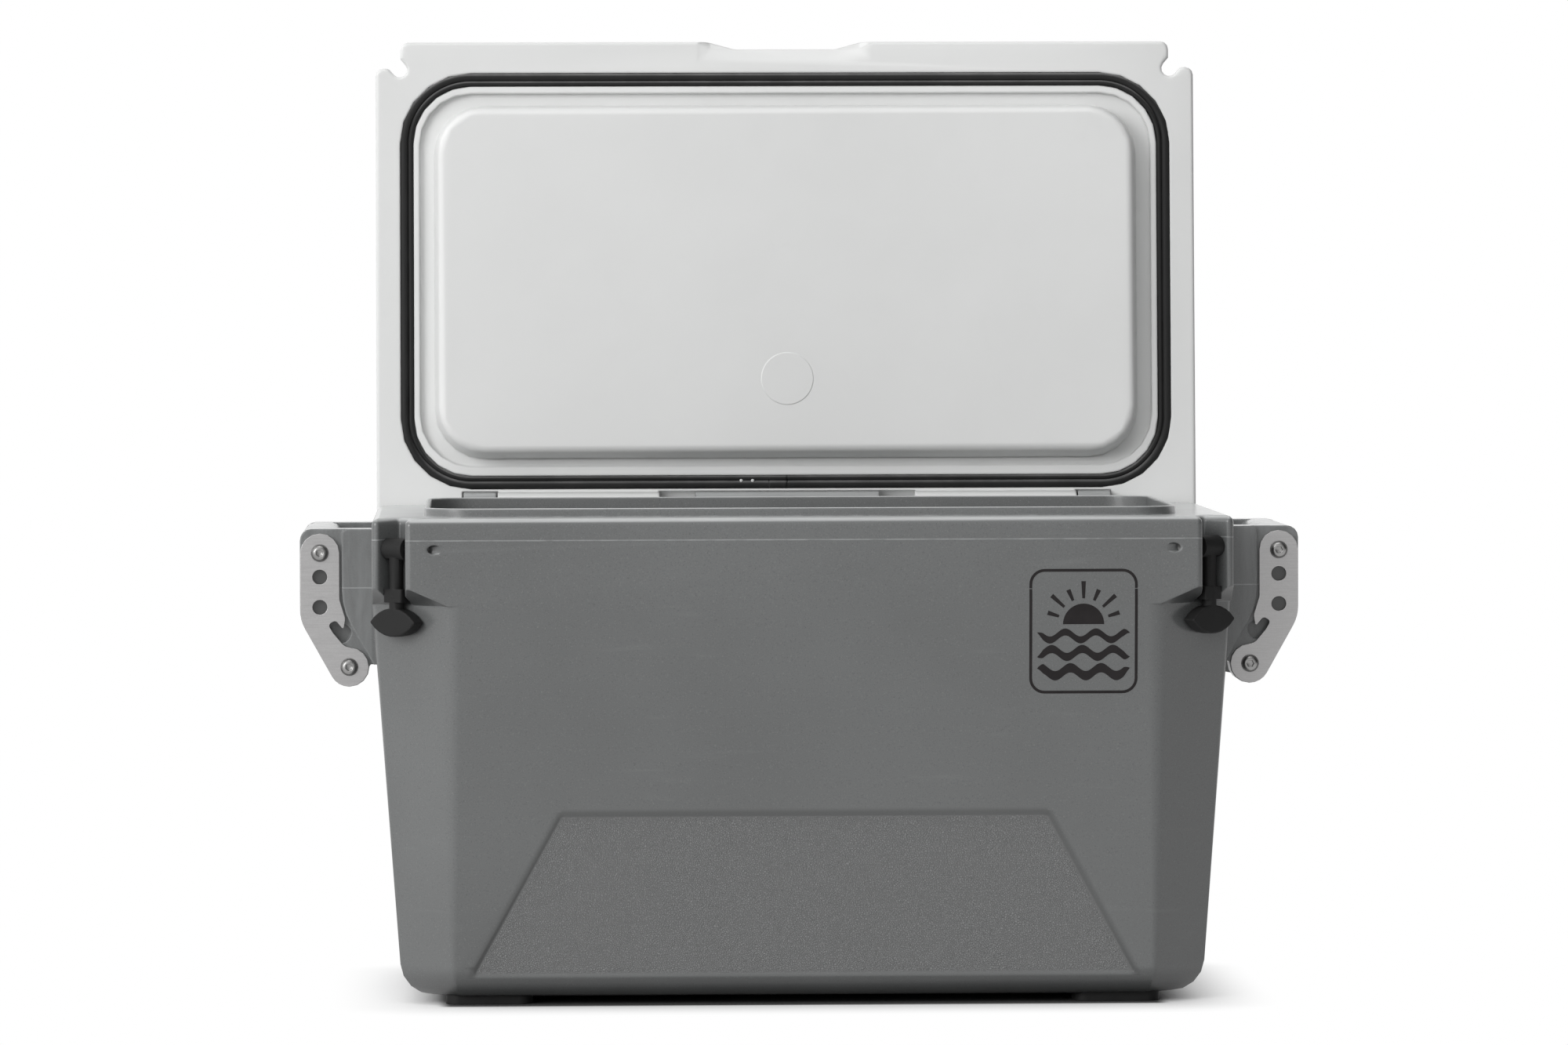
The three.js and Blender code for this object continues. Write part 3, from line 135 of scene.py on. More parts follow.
class Shade:
    """A material's node tree, with short calls for the nodes that the finishes use."""

    def __init__(self, name, world=False):
        self.material = (bpy.data.worlds if world else bpy.data.materials).new(name)
        self.material.use_nodes = True
        self.tree = self.material.node_tree
        self.tree.nodes.clear()
        output = "ShaderNodeOutputWorld" if world else "ShaderNodeOutputMaterial"
        self.end = self.tree.nodes.new(output).inputs["Surface"]
        where = self.tree.nodes.new("ShaderNodeTexCoord").outputs
        self.place = where["Generated" if world else "Object"]
        self.facing = where["Normal"]

    def put(self, socket, value):
        if isinstance(value, bpy.types.NodeSocket):
            self.tree.links.new(value, socket)
        else:
            socket.default_value = value

    def node(self, kind, inputs=(), **settings):
        made = self.tree.nodes.new(kind)
        for key, value in settings.items():
            setattr(made, key, value)
        for key, value in dict(inputs).items():
            self.put(made.inputs[key], value)
        return made

    def math(self, operation, *values, clamp=False):
        made = self.node("ShaderNodeMath", operation=operation, use_clamp=clamp)
        for socket, value in zip(made.inputs, values):
            self.put(socket, value)
        return made.outputs[0]

    def times(self, a, b):
        return self.math("MULTIPLY", a, b)

    def minus(self, a, b):
        return self.math("SUBTRACT", a, b)

    def length(self, a, b):
        """How far apart two points are that lie a and b apart along two axes."""
        return self.math("SQRT", self.math("ADD", self.times(a, a), self.times(b, b)))

    def span(self, value, low, high, to_low=0.0, to_high=1.0, smooth=True):
        """The value, carried from low and high to to_low and to_high, and held beyond them."""
        ends = {"From Min": low, "From Max": high, "To Min": to_low, "To Max": to_high}
        shape = "SMOOTHSTEP" if smooth else "LINEAR"
        made = self.node("ShaderNodeMapRange", {"Value": value, **ends}, interpolation_type=shape)
        return made.outputs["Result"]

    def pulse(self, value, centre, half):
        """1 at the centre, falling to 0 at half away from it."""
        return self.span(self.math("ABSOLUTE", self.minus(value, centre)), half, 0.0)

    def noise(self, scale, detail=2.0, roughness=0.5, vector=None, distortion=0.0):
        made = self.node("ShaderNodeTexNoise", {
            "Vector": vector or self.place,
            "Scale": scale,
            "Detail": detail,
            "Roughness": roughness,
            "Distortion": distortion,
        })
        return made.outputs[0]

    def cells(self, scale, feature="F1", vector=None):
        inputs = {"Vector": vector or self.place, "Scale": scale}
        return self.node("ShaderNodeTexVoronoi", inputs, feature=feature).outputs["Distance"]

    def streaks(self, scale, turn=(0.0, 0.0, 0.0), detail=4.0, roughness=0.6, distortion=0.0):
        """Noise with its own scale along each axis, turned by radians."""
        inputs = {"Vector": self.place, "Scale": scale, "Rotation": turn}
        drawn = self.node("ShaderNodeMapping", inputs).outputs["Vector"]
        return self.noise(1.0, detail, roughness, drawn, distortion)

    def jumbled(self, scale, reach):
        """The place, pushed about by a noise."""
        push = self.node("ShaderNodeTexNoise", {"Vector": self.place, "Scale": scale})
        inputs = {0: push.outputs["Color"], 1: (reach,) * 3, 2: self.place}
        made = self.node("ShaderNodeVectorMath", inputs, operation="MULTIPLY_ADD")
        return made.outputs["Vector"]

    def mix(self, share, a, b):
        """Colour a where the share is 0, and b where it is 1."""
        inputs = {"Factor": share, 6: a, 7: b}
        return self.node("ShaderNodeMix", inputs, data_type="RGBA").outputs[2]

    def xyz(self):
        return self.node("ShaderNodeSeparateXYZ", {"Vector": self.place}).outputs

    def upward(self):
        """How far the surface faces up, from -1 to 1."""
        return self.node("ShaderNodeSeparateXYZ", {"Vector": self.facing}).outputs[2]

    def bump(self, height, strength, distance, normal=None):
        inputs = {"Height": height, "Strength": strength, "Distance": distance}
        if normal is not None:
            inputs["Normal"] = normal
        return self.node("ShaderNodeBump", inputs).outputs["Normal"]

    def soft_edges(self, radius):
        made = self.node("ShaderNodeBevel", {"Radius": radius}, samples=BEVEL_SAMPLES)
        return made.outputs["Normal"]

    def edge_wear(self, soft):
        """0 on flat places and 1 on edges, where the softened normal leans from the true one."""
        true = self.node("ShaderNodeNewGeometry").outputs["Normal"]
        made = self.node("ShaderNodeVectorMath", {0: soft, 1: true}, operation="DOT_PRODUCT")
        return self.span(made.outputs["Value"], WEAR_STARTS, WEAR_FULL)

    def patchy_wear(self, soft, scale, low, high, least, most):
        """Wear on the edges that comes and goes along them."""
        patches = self.span(self.noise(scale, 3.0), low, high, least, most)
        return self.times(self.edge_wear(soft), patches)

    def one_of(self, share, a, b):
        """Shader a where the share is 0, and b where it is 1."""
        return self.node("ShaderNodeMixShader", {0: share, 1: a, 2: b}).outputs[0]

    def close(self, shader):
        self.put(self.end, shader)
        return self.material

    def surface(self, **inputs):
        """Closes the tree with a Principled shader; _ stands for a space in its inputs' names."""
        named = {key.replace("_", " "): value for key, value in inputs.items()}
        return self.close(self.node("ShaderNodeBsdfPrincipled", named).outputs["BSDF"])


def grey(value, warm=0.0):
    return (value * (1 + warm), value, value * (1 - warm), 1.0)


BODY_DEEP = (0.112, 0.116, 0.116, 1)
BODY_PLAIN = (0.128, 0.133, 0.133, 1)
BODY_PALE = (0.175, 0.18, 0.18, 1)
BODY_DARK = (0.088, 0.091, 0.091, 1)
# Paler tone for tops: fade and dust, with painted top light.
BODY_FADE_AND_TOP_LIGHT = (0.44, 0.45, 0.45, 1)
# Painted shade for faces that look down.
BODY_UNDERSIDE_SHADE = (0.05, 0.051, 0.051, 1)
BODY_WEB = (0.19, 0.197, 0.198, 1)
BODY_LINE = (0.34, 0.35, 0.35, 1)
BODY_WORN = (0.36, 0.368, 0.368, 1)
BODY_SCUFF = (0.26, 0.265, 0.265, 1)
# Painted shade behind the plates' round holes.
HOLE_SHADE_TONE = (0.035, 0.036, 0.036, 1)
# Painted shade along the sunken panel's slanted sides and top.
SUNKEN_PANEL_SHADE = (0.045, 0.046, 0.046, 1)
PANEL_GRAIN = (0.217, 0.22, 0.22, 1)
PANEL_VALLEY = (0.07, 0.072, 0.072, 1)
# Shares of the panel's painted edge shade, its grain and its valleys.
PANEL_SHADE_SHARE = 0.62
GRAIN_SHARE = 0.8
VALLEY_SHARE = 0.48


def body_grey(shade, blotch):
    """The body's own grey: blotches, pale and dark specks, and faint slanted streaks."""
    speck = shade.noise(900.0, 2.0, 0.6)
    streaks = shade.streaks((9.0, 9.0, 70.0), (0.3, 0.2, 0.0), detail=5.0, distortion=0.4)
    colour = shade.mix(blotch, BODY_DEEP, BODY_PLAIN)
    colour = shade.mix(shade.span(speck, 0.6, 0.75), colour, BODY_PALE)
    colour = shade.mix(shade.span(speck, 0.42, 0.28), colour, BODY_DARK)
    return shade.mix(shade.span(streaks, 0.6, 0.8, 0.0, 0.35), colour, BODY_PALE)


def weather_and_painted_light(shade, colour, side, z):
    """Fade and dust with painted top light on tops of the rim and handles, painted shade on
    undersides, lighter webs on the handles.
    """
    upward = shade.upward()
    # Tops of the rim and handles are paler: fade and dust, with painted top light.
    top = shade.times(shade.span(upward, 0.35, 0.95), shade.span(z, 0.3, 0.34))
    clouds = shade.streaks((14.0, 60.0, 14.0), distortion=0.3)
    fade_and_top_light = shade.times(top, shade.span(clouds, 0.3, 0.7, 0.85, 1.0))
    colour = shade.mix(fade_and_top_light, colour, BODY_FADE_AND_TOP_LIGHT)
    # Faces that look down are darker: painted shade.
    colour = shade.mix(shade.span(upward, -0.1, -0.7, 0.0, 0.3), colour, BODY_UNDERSIDE_SHADE)
    web = shade.span(side, WEB_START - WEB_EDGE, WEB_START + WEB_EDGE)
    drips = shade.streaks((75.0, 40.0, 11.0), distortion=0.3)
    streaked = shade.times(web, shade.span(drips, 0.35, 0.7, 0.15, 0.8))
    return shade.mix(streaked, colour, BODY_WEB)


def mould_line(shade, side, y, z):
    """The line that the mould leaves: round the outside of the rim, and lower on the handles."""
    reach = shade.math("MAXIMUM", side, shade.times(y, FRONT_SCALE))
    outer = shade.math("GREATER_THAN", reach, OUTSIDE)
    on_rim = shade.math("LESS_THAN", side, WEB_START)
    on_web = shade.math("GREATER_THAN", side, WEB_START)
    rim = shade.times(shade.pulse(z, RIM_LINE, LINE_HALF), on_rim)
    web = shade.times(shade.pulse(z, WEB_LINE, LINE_HALF), on_web)
    return shade.math("MULTIPLY", shade.math("ADD", rim, web), outer, clamp=True)


def scuffed(shade, colour):
    """Short pale scuffs, in a few places."""
    swirl = shade.streaks((120.0, 60.0, 18.0), (0.0, 0.5, 0.4), 6.0, 0.7, 1.6)
    rare = shade.span(shade.noise(7.0, 2.0, 0.5), 0.52, 0.66)
    scuff = shade.times(shade.span(swirl, 0.69, 0.74, 0.0, 0.5), rare)
    return shade.mix(scuff, colour, BODY_SCUFF)


def painted_hole_shade(shade, colour, side, z):
    """Painted shade on the handle's face behind the round holes of the plates, where a hollow
    would be dark.
    """
    bolt_out, bolt_up = (size / 1000 for size in UPPER_BOLT)
    inner, outer = HOLE_RADIUS
    sideways = shade.minus(side, bolt_out)
    for drop in HOLE_DROPS:
        above = shade.minus(z, bolt_up - drop)
        hole_shade = shade.span(shade.length(sideways, above), outer, inner)
        # Painted shade: a dark disc behind each hole.
        colour = shade.mix(hole_shade, colour, HOLE_SHADE_TONE)
    return colour


def panel_masks(shade, side, y, z):
    """Where the sunken panel of the front is, and the painted shade along its slanted sides and
    top.
    """
    half = shade.span(
        z, RECESS_BOTTOM, RECESS_TOP, RECESS_HALF_LOW, RECESS_HALF_HIGH, smooth=False
    )
    inward = shade.minus(half, side)
    front = shade.span(y, *FRONT_WALL)
    panel = shade.times(shade.span(inward, 0.0, PANEL_EDGE), front)
    panel = shade.times(panel, shade.span(z, RECESS_BOTTOM + 0.003, RECESS_BOTTOM + 0.006))
    panel = shade.times(panel, shade.span(z, RECESS_TOP - 0.002, RECESS_TOP - 0.005))
    over_foot = shade.math("GREATER_THAN", z, RECESS_BOTTOM)
    under_top = shade.math("LESS_THAN", z, RECESS_TOP + 0.001)
    level = shade.times(over_foot, under_top)
    # Painted shade along the slanted sides and the top of the panel.
    slanted = shade.times(shade.pulse(inward, -0.001, PANEL_SHADE_HALF_SIDE), level)
    within = shade.span(inward, -0.002, 0.0)
    top = shade.times(shade.pulse(z, RECESS_TOP, PANEL_SHADE_HALF_TOP), within)
    panel_shade = shade.times(shade.math("MAXIMUM", slanted, top), front)
    return panel, panel_shade


def body_plastic():
    shade = Shade("moulded_body_plastic")
    x, y, z = shade.xyz()
    side = shade.math("ABSOLUTE", x)
    soft = shade.soft_edges(0.0026)
    blotch = shade.span(shade.noise(5.0, 4.0, 0.55), 0.3, 0.7)
    colour = weather_and_painted_light(shade, body_grey(shade, blotch), side, z)

    line = mould_line(shade, side, y, z)
    breaks = shade.streaks((45.0, 45.0, 5.0), detail=3.0)
    broken = shade.span(breaks, 0.3, 0.6, 0.25, 0.75)
    colour = shade.mix(shade.times(line, broken), colour, BODY_LINE)
    worn = shade.patchy_wear(soft, 60.0, 0.35, 0.7, 0.15, 0.6)
    colour = shade.mix(worn, colour, BODY_WORN)
    colour = painted_hole_shade(shade, scuffed(shade, colour), side, z)

    # Leather grain on the sunken panel, dark in the valleys between its pebbles.
    panel, panel_shade = panel_masks(shade, side, y, z)
    pebbles = shade.cells(620.0, "DISTANCE_TO_EDGE", shade.jumbled(400.0, 0.0014))
    grain = shade.times(shade.span(pebbles, 0.0, 0.24), panel)
    valley = shade.minus(panel, grain)
    # Painted shade darkens the panel's slanted sides and top.
    colour = shade.mix(shade.times(panel_shade, PANEL_SHADE_SHARE), colour, SUNKEN_PANEL_SHADE)
    colour = shade.mix(shade.times(panel, GRAIN_SHARE), colour, PANEL_GRAIN)
    colour = shade.mix(shade.times(valley, VALLEY_SHARE), colour, PANEL_VALLEY)

    normal = shade.bump(shade.noise(28.0, 2.0, 0.5), 0.2, 0.0012, soft)
    normal = shade.bump(shade.noise(620.0, 3.0, 0.6), 0.5, 0.00016, normal)
    normal = shade.bump(line, 0.6, 0.0004, normal)
    normal = shade.bump(grain, 1.0, 0.00045, normal)
    return shade.surface(
        Base_Color=colour,
        Roughness=shade.span(blotch, 0.0, 1.0, 0.38, 0.46),
        Specular_IOR_Level=0.4,
        Coat_Weight=0.8,
        Coat_Roughness=0.2,
        Normal=normal,
    )


LID_DEEP = (0.735, 0.74, 0.735, 1)
LID_PLAIN = (0.77, 0.775, 0.77, 1)
LID_SCUFF = (0.64, 0.645, 0.64, 1)
LID_SPECK = (0.62, 0.62, 0.615, 1)
# Painted shade for the lid's faces that look up.
LID_TOP_SHADE = (0.62, 0.625, 0.62, 1)
LID_WORN = (0.63, 0.63, 0.625, 1)


def lid_plastic():
    shade = Shade("moulded_lid_plastic")
    x, y, z = shade.xyz()
    soft = shade.soft_edges(0.003)
    blotch = shade.span(shade.noise(4.0, 4.0, 0.55), 0.3, 0.7)
    scuff = shade.streaks((14.0, 60.0, 14.0), (0.2, 0.3, 0.5), 5.0, 0.65, 0.5)
    speck = shade.noise(1100.0, 2.0, 0.6)
    colour = shade.mix(blotch, LID_DEEP, LID_PLAIN)
    colour = shade.mix(shade.span(scuff, 0.62, 0.82, 0.0, 0.25), colour, LID_SCUFF)
    colour = shade.mix(shade.span(speck, 0.7, 0.85, 0.0, 0.2), colour, LID_SPECK)
    # Faces of the open lid that look up are darker: painted shade that holds down the top light.
    colour = shade.mix(shade.span(shade.upward(), 0.3, 0.8, 0.0, 0.6), colour, LID_TOP_SHADE)
    worn = shade.patchy_wear(soft, 55.0, 0.4, 0.75, 0.0, 0.35)
    colour = shade.mix(worn, colour, LID_WORN)

    normal = shade.bump(shade.noise(22.0, 2.0), 0.25, 0.0012, soft)
    normal = shade.bump(shade.noise(560.0, 3.0, 0.6), 0.15, 0.0001, normal)
    # A bare round boss, barely raised, on the pad inside the lid.
    inner, outer = BOSS_RADIUS
    from_boss = shade.length(x, shade.minus(z, BOSS_HEIGHT))
    inside = shade.math("LESS_THAN", y, BOSS_BEFORE)
    boss = shade.times(shade.span(from_boss, outer, inner), inside)
    normal = shade.bump(boss, 1.0, 0.00042, normal)
    return shade.surface(
        Base_Color=colour,
        Roughness=shade.span(blotch, 0.0, 1.0, 0.48, 0.56),
        Specular_IOR_Level=0.35,
        Normal=normal,
    )


# How much lighter dust and worn edges are than a rubber's own lighter tone, and the grey that
# lies on faces that look up: dust with painted top light.
SPECK_GAIN = 2.4
WORN_GAIN = 2.2
TOP_DUST_AND_LIGHT = 0.2


def rubber(name, dark, light, edge=0.0012, roughness=(0.55, 0.7), dust_and_top_light=0.0):
    """Dull rubber or soft plastic between two greys, with a share of dust and painted top light
    on its tops.
    """
    shade = Shade(name)
    soft = shade.soft_edges(edge)
    cloud = shade.span(shade.noise(35.0, 4.0, 0.6), 0.3, 0.75)
    speck = shade.span(shade.noise(1500.0, 2.0, 0.7), 0.66, 0.8, 0.0, 0.4)
    worn = shade.patchy_wear(soft, 90.0, 0.3, 0.7, 0.15, 0.6)
    dust_and_light = shade.span(cloud, 0.0, 1.0, 0.7 * dust_and_top_light, dust_and_top_light)
    # Tops are paler: dust with painted top light.
    top = shade.times(shade.span(shade.upward(), 0.15, 0.8), dust_and_light)
    colour = shade.mix(cloud, grey(dark), grey(light))
    colour = shade.mix(speck, colour, grey(light * SPECK_GAIN))
    colour = shade.mix(worn, colour, grey(light * WORN_GAIN))
    colour = shade.mix(top, colour, grey(TOP_DUST_AND_LIGHT))
    return shade.surface(
        Base_Color=colour,
        Roughness=shade.span(cloud, 0.0, 1.0, *roughness),
        Specular_IOR_Level=0.22,
        Normal=shade.bump(shade.noise(700.0, 3.0, 0.6), 0.3, 0.00012, soft),
    )


ALUMINIUM_DEEP = (0.375, 0.37, 0.37, 1)
ALUMINIUM_PLAIN = (0.435, 0.43, 0.43, 1)
ALUMINIUM_GRAIN = (0.32, 0.315, 0.315, 1)
ALUMINIUM_MARK = (0.5, 0.5, 0.5, 1)
ALUMINIUM_WORN = (0.66, 0.65, 0.65, 1)


def brushed_aluminium():
    shade = Shade("brushed_aluminium")
    soft = shade.soft_edges(0.0007)
    strands = shade.streaks((60.0, 60.0, 1700.0), (0.0, 0.16, 0.0), 3.0, 0.7)
    grain = shade.noise(1500.0, 2.0, 0.6)
    mark = shade.streaks((22.0, 22.0, 160.0), (0.0, -0.5, 0.0), distortion=0.6)
    colour = shade.mix(shade.span(strands, 0.3, 0.7), ALUMINIUM_DEEP, ALUMINIUM_PLAIN)
    colour = shade.mix(shade.span(grain, 0.35, 0.75, 0.0, 0.35), colour, ALUMINIUM_GRAIN)
    colour = shade.mix(shade.span(mark, 0.66, 0.78, 0.0, 0.5), colour, ALUMINIUM_MARK)
    colour = shade.mix(shade.times(shade.edge_wear(soft), 0.6), colour, ALUMINIUM_WORN)
    normal = shade.bump(strands, 0.35, 0.00004, soft)
    normal = shade.bump(grain, 0.3, 0.00004, normal)
    rough = shade.span(strands, 0.25, 0.75, 0.36, 0.48)
    return shade.surface(Base_Color=colour, Metallic=0.9, Roughness=rough, Normal=normal)


STEEL_WARMTH = 0.01


def steel(name, low, high, edge, roughness):
    """Steel between two greys, with a lighter one on its worn edges."""
    shade = Shade(name)
    soft = shade.soft_edges(0.0004)
    cloud = shade.noise(160.0, 3.0, 0.6)
    deep, plain, worn = (grey(tone, STEEL_WARMTH) for tone in (low, high, edge))
    colour = shade.mix(shade.span(cloud, 0.3, 0.7), deep, plain)
    colour = shade.mix(shade.times(shade.edge_wear(soft), 0.7), colour, worn)
    normal = shade.bump(shade.noise(900.0, 2.0, 0.6), 0.2, 0.00003, soft)
    rough = shade.span(cloud, 0.2, 0.8, *roughness)
    return shade.surface(Base_Color=colour, Metallic=1.0, Roughness=rough, Normal=normal)


BRASS_DEEP = (0.5, 0.36, 0.15, 1)
BRASS_PLAIN = (0.62, 0.45, 0.2, 1)


def brass():
    shade = Shade("brass")
    cloud = shade.noise(220.0, 3.0, 0.6)
    colour = shade.mix(shade.span(cloud, 0.3, 0.7), BRASS_DEEP, BRASS_PLAIN)
    normal = shade.bump(cloud, 0.2, 0.00005)
    rough = shade.span(cloud, 0.2, 0.8, 0.28, 0.42)
    return shade.surface(Base_Color=colour, Metallic=1.0, Roughness=rough, Normal=normal)


FOAM_DEEP = (0.72, 0.6, 0.36, 1)
FOAM_PLAIN = (0.8, 0.7, 0.48, 1)


def foam():
    shade = Shade("rigid_foam")
    cells = shade.span(shade.cells(500.0), 0.1, 0.8)
    colour = shade.mix(cells, FOAM_DEEP, FOAM_PLAIN)
    return shade.surface(Base_Color=colour, Roughness=0.9, Normal=shade.bump(cells, 0.5, 0.0003))


INK_DEEP = (0.0125, 0.0105, 0.011, 1)
INK_PLAIN = (0.018, 0.0155, 0.016, 1)
INK_SPECK = (0.05, 0.05, 0.05, 1)


def print_ink():
    shade = Shade("print_ink")
    cloud = shade.noise(45.0, 4.0, 0.6)
    speck = shade.noise(1300.0, 2.0, 0.6)
    colour = shade.mix(shade.span(cloud, 0.3, 0.7), INK_DEEP, INK_PLAIN)
    colour = shade.mix(shade.span(speck, 0.68, 0.8, 0.0, 0.5), colour, INK_SPECK)
    normal = shade.bump(shade.noise(620.0, 3.0, 0.6), 0.3, 0.00012)
    return shade.surface(
        Base_Color=colour, Roughness=0.55, Specular_IOR_Level=0.2, Normal=normal
    )


# The finish of each of the frame's slots.
FINISHES = {
    "body_plastic": body_plastic(),
    "lid_plastic": lid_plastic(),
    "foam": foam(),
    "gasket_rubber": rubber("gasket_rubber", 0.012, 0.02, 0.0005, dust_and_top_light=0.75),
    "black_rubber": rubber("black_rubber", 0.011, 0.019),
    "brushed_aluminium": brushed_aluminium(),
    "stainless_steel": steel("stainless_steel", 0.27, 0.31, 0.55, (0.28, 0.36)),
    "brass_insert": brass(),
    "drain_plastic": rubber("drain_plastic", 0.014, 0.024, 0.0008, (0.4, 0.5)),
}
# A darker steel for the bolts' flanges: painted shade round the foot of the dome.
FLANGE_SHADE_STEEL = steel("flange_shade_steel", 0.1, 0.16, 0.3, (0.35, 0.5))

WELD_DISTANCE = 2e-6
# Degrees between two faces up to which their edge is shaded smooth.
SMOOTH_UP_TO = 50
SMOOTH_UP_TO_BOLT = 38


def smoothing_group(limit):
    """Joins the frame's loose triangles and shades them smooth up to an angle."""
    group = bpy.data.node_groups.new("smooth_frame", "GeometryNodeTree")
    for way in ("INPUT", "OUTPUT"):
        group.interface.new_socket("Geometry", in_out=way, socket_type="NodeSocketGeometry")
    new = group.nodes.new
    link = group.links.new
    start = new("NodeGroupInput")
    drop = new("GeometryNodeRemoveAttribute")
    drop.inputs["Name"].default_value = "custom_normal"
    weld = new("GeometryNodeMergeByDistance")
    weld.inputs["Distance"].default_value = WELD_DISTANCE
    faces = new("GeometryNodeSetShadeSmooth")
    faces.domain = "FACE"
    edges = new("GeometryNodeSetShadeSmooth")
    edges.domain = "EDGE"
    angle = new("GeometryNodeInputMeshEdgeAngle")
    flat = new("FunctionNodeCompare")
    flat.data_type = "FLOAT"
    flat.operation = "LESS_EQUAL"
    flat.inputs[1].default_value = limit
    end = new("NodeGroupOutput")
    link(start.outputs[0], drop.inputs["Geometry"])
    link(drop.outputs["Geometry"], weld.inputs["Geometry"])
    link(weld.outputs["Geometry"], faces.inputs[0])
    link(faces.outputs[0], edges.inputs[0])
    link(angle.outputs["Unsigned Angle"], flat.inputs[0])
    link(flat.outputs["Result"], edges.inputs["Shade Smooth"])
    link(edges.outputs[0], end.inputs[0])
    return group


SMOOTH = smoothing_group(math.radians(SMOOTH_UP_TO))
SMOOTH_BOLT = smoothing_group(math.radians(SMOOTH_UP_TO_BOLT))

for node in nodes.values():
    slot_name = node.material_slots[0].material.name.split(".")[0]
    node.material_slots[0].material = FINISHES[slot_name]
    node.modifiers.new("smooth", "NODES").node_group = SMOOTH
    weights = node.modifiers.new("weights", "WEIGHTED_NORMAL")
    weights.keep_sharp = True


def add_piece(name, mesh, material, body):
    piece = bpy.data.objects.new(name, mesh)
    mesh.materials.append(material)
    bpy.context.scene.collection.objects.link(piece)
    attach(piece, body)
    return piece


def mesh_from(bm, name, smooth=True):
    bmesh.ops.recalc_face_normals(bm, faces=bm.faces)
    mesh = bpy.data.meshes.new(name)
    bm.to_mesh(mesh)
    bm.free()
    if smooth:
        mesh.polygons.foreach_set("use_smooth", [True] * len(mesh.polygons))
    return mesh


def bridge(bm, one, two):
    """Faces between two equal loops of vertices, or between a loop and a single vertex."""
    sides = max(len(one), len(two))
    faces = []
    for k in range(sides):
        j = (k + 1) % sides
        if len(one) == 1:
            corners = (one[0], two[j], two[k])
        elif len(two) == 1:
            corners = (one[k], one[j], two[0])
        else:
            corners = (one[k], one[j], two[j], two[k])
        faces.append(bm.faces.new(corners))
    return faces


def closed_sweep(bm, loops, name):
    """Closed body through equal loops of vertices, with its two ends filled."""
    for one, two in zip(loops, loops[1:]):
        bridge(bm, one, two)
    bm.faces.new(loops[0])
    bm.faces.new(tuple(reversed(loops[-1])))
    return mesh_from(bm, name)


# The lid's seal, in mm of the shut lid: the rounded rectangle that it follows, with steps round
# each corner and along the sides, and its section, a wide and a narrow lobe on a flat foot.
GASKET_HALF = 345.0
GASKET_START = 31.2
GASKET_END = 404.0
GASKET_CORNER = 63.0
CORNER_STEPS = 22
SIDE_STEP = 12
GASKET_WIDTH = 11.6
GASKET_FOOT = 3.2
GASKET_ROOT = 1.4
GASKET_LOBES = ((3.5, 3.6, 1.65), (9.2, 2.4, 1.3))
SWELL_RISE = 0.05
LOBE_STEPS = 10
# Its splice: the sleeve's rings, and how it swells and ripples along them.
SPLICE_START = -16.5
SPLICE_STEP = 2.1
SPLICE_RINGS = 9
SPLICE_LEAST = 0.05
SPLICE_GROWTH = 1.15
SPLICE_CURVE = 1.6
RIPPLE_HEIGHT = 0.12
RIPPLE_STEP = 2.3
# Its pips: where they are, and the radius and height of each ring.
PIP_PLACES = (-41.0, -30.8)
PIP_ACROSS = 6.8
PIP_SINK = 0.45
PIP_RINGS = ((1.3, -1.2), (1.45, 0.2), (1.5, 0.5), (1.3, 0.85), (0.8, 1.15), (0.3, 1.25))
PIP_SIDES = 16


def rounded_rectangle(half, low, high, radius):
    """Points with outward directions round a rectangle with round corners, in X and Y."""
    corners = (
        (half - radius, low + radius, -90),
        (half - radius, high - radius, 0),
        (radius - half, high - radius, 90),
        (radius - half, low + radius, 180),
    )
    rounds = []
    for cx, cy, start in corners:
        for step in range(CORNER_STEPS + 1):
            a = math.radians(start + 90 * step / CORNER_STEPS)
            nx, ny = math.cos(a), math.sin(a)
            rounds.append((cx + radius * nx, cy + radius * ny, nx, ny))
    dense = []
    for index, (px, py, nx, ny) in enumerate(rounds):
        qx, qy = rounds[(index + 1) % len(rounds)][:2]
        dense.append((px, py, nx, ny))
        parts = int(math.hypot(qx - px, qy - py) // SIDE_STEP)
        for k in range(1, parts):
            t = k / parts
            dense.append((px + (qx - px) * t, py + (qy - py) * t, nx, ny))
    return dense


def gasket_profile(swell=0.0):
    """Section of the seal, in mm inwards and out of the lid, thickened by swell."""
    section = [(-swell, -GASKET_FOOT)]
    for centre, radius, rise in GASKET_LOBES:
        for step in range(LOBE_STEPS + 1):
            a = math.pi * step / LOBE_STEPS
            across = centre - radius * math.cos(a)
            up = (rise + GASKET_ROOT) * math.sin(a) - GASKET_ROOT + SWELL_RISE * swell
            section.append((max(-swell, min(GASKET_WIDTH + swell, across)), up))
    section.append((GASKET_WIDTH + swell, -GASKET_FOOT))
    return section


def gasket_ring():
    """The lid's seal, swept round the lid."""
    bm = bmesh.new()
    profile = gasket_profile()
    rings = []
    for px, py, nx, ny in rounded_rectangle(GASKET_HALF, GASKET_START, GASKET_END, GASKET_CORNER):
        ring = []
        for across, up in profile:
            point = on_lid(px - nx * across, py - ny * across, LID_UNDER - up)
            ring.append(bm.verts.new(point))
        rings.append(ring)
    for one, two in zip(rings, rings[1:] + rings[:1]):
        bridge(bm, one, two)
    return mesh_from(bm, "gasket_ring")


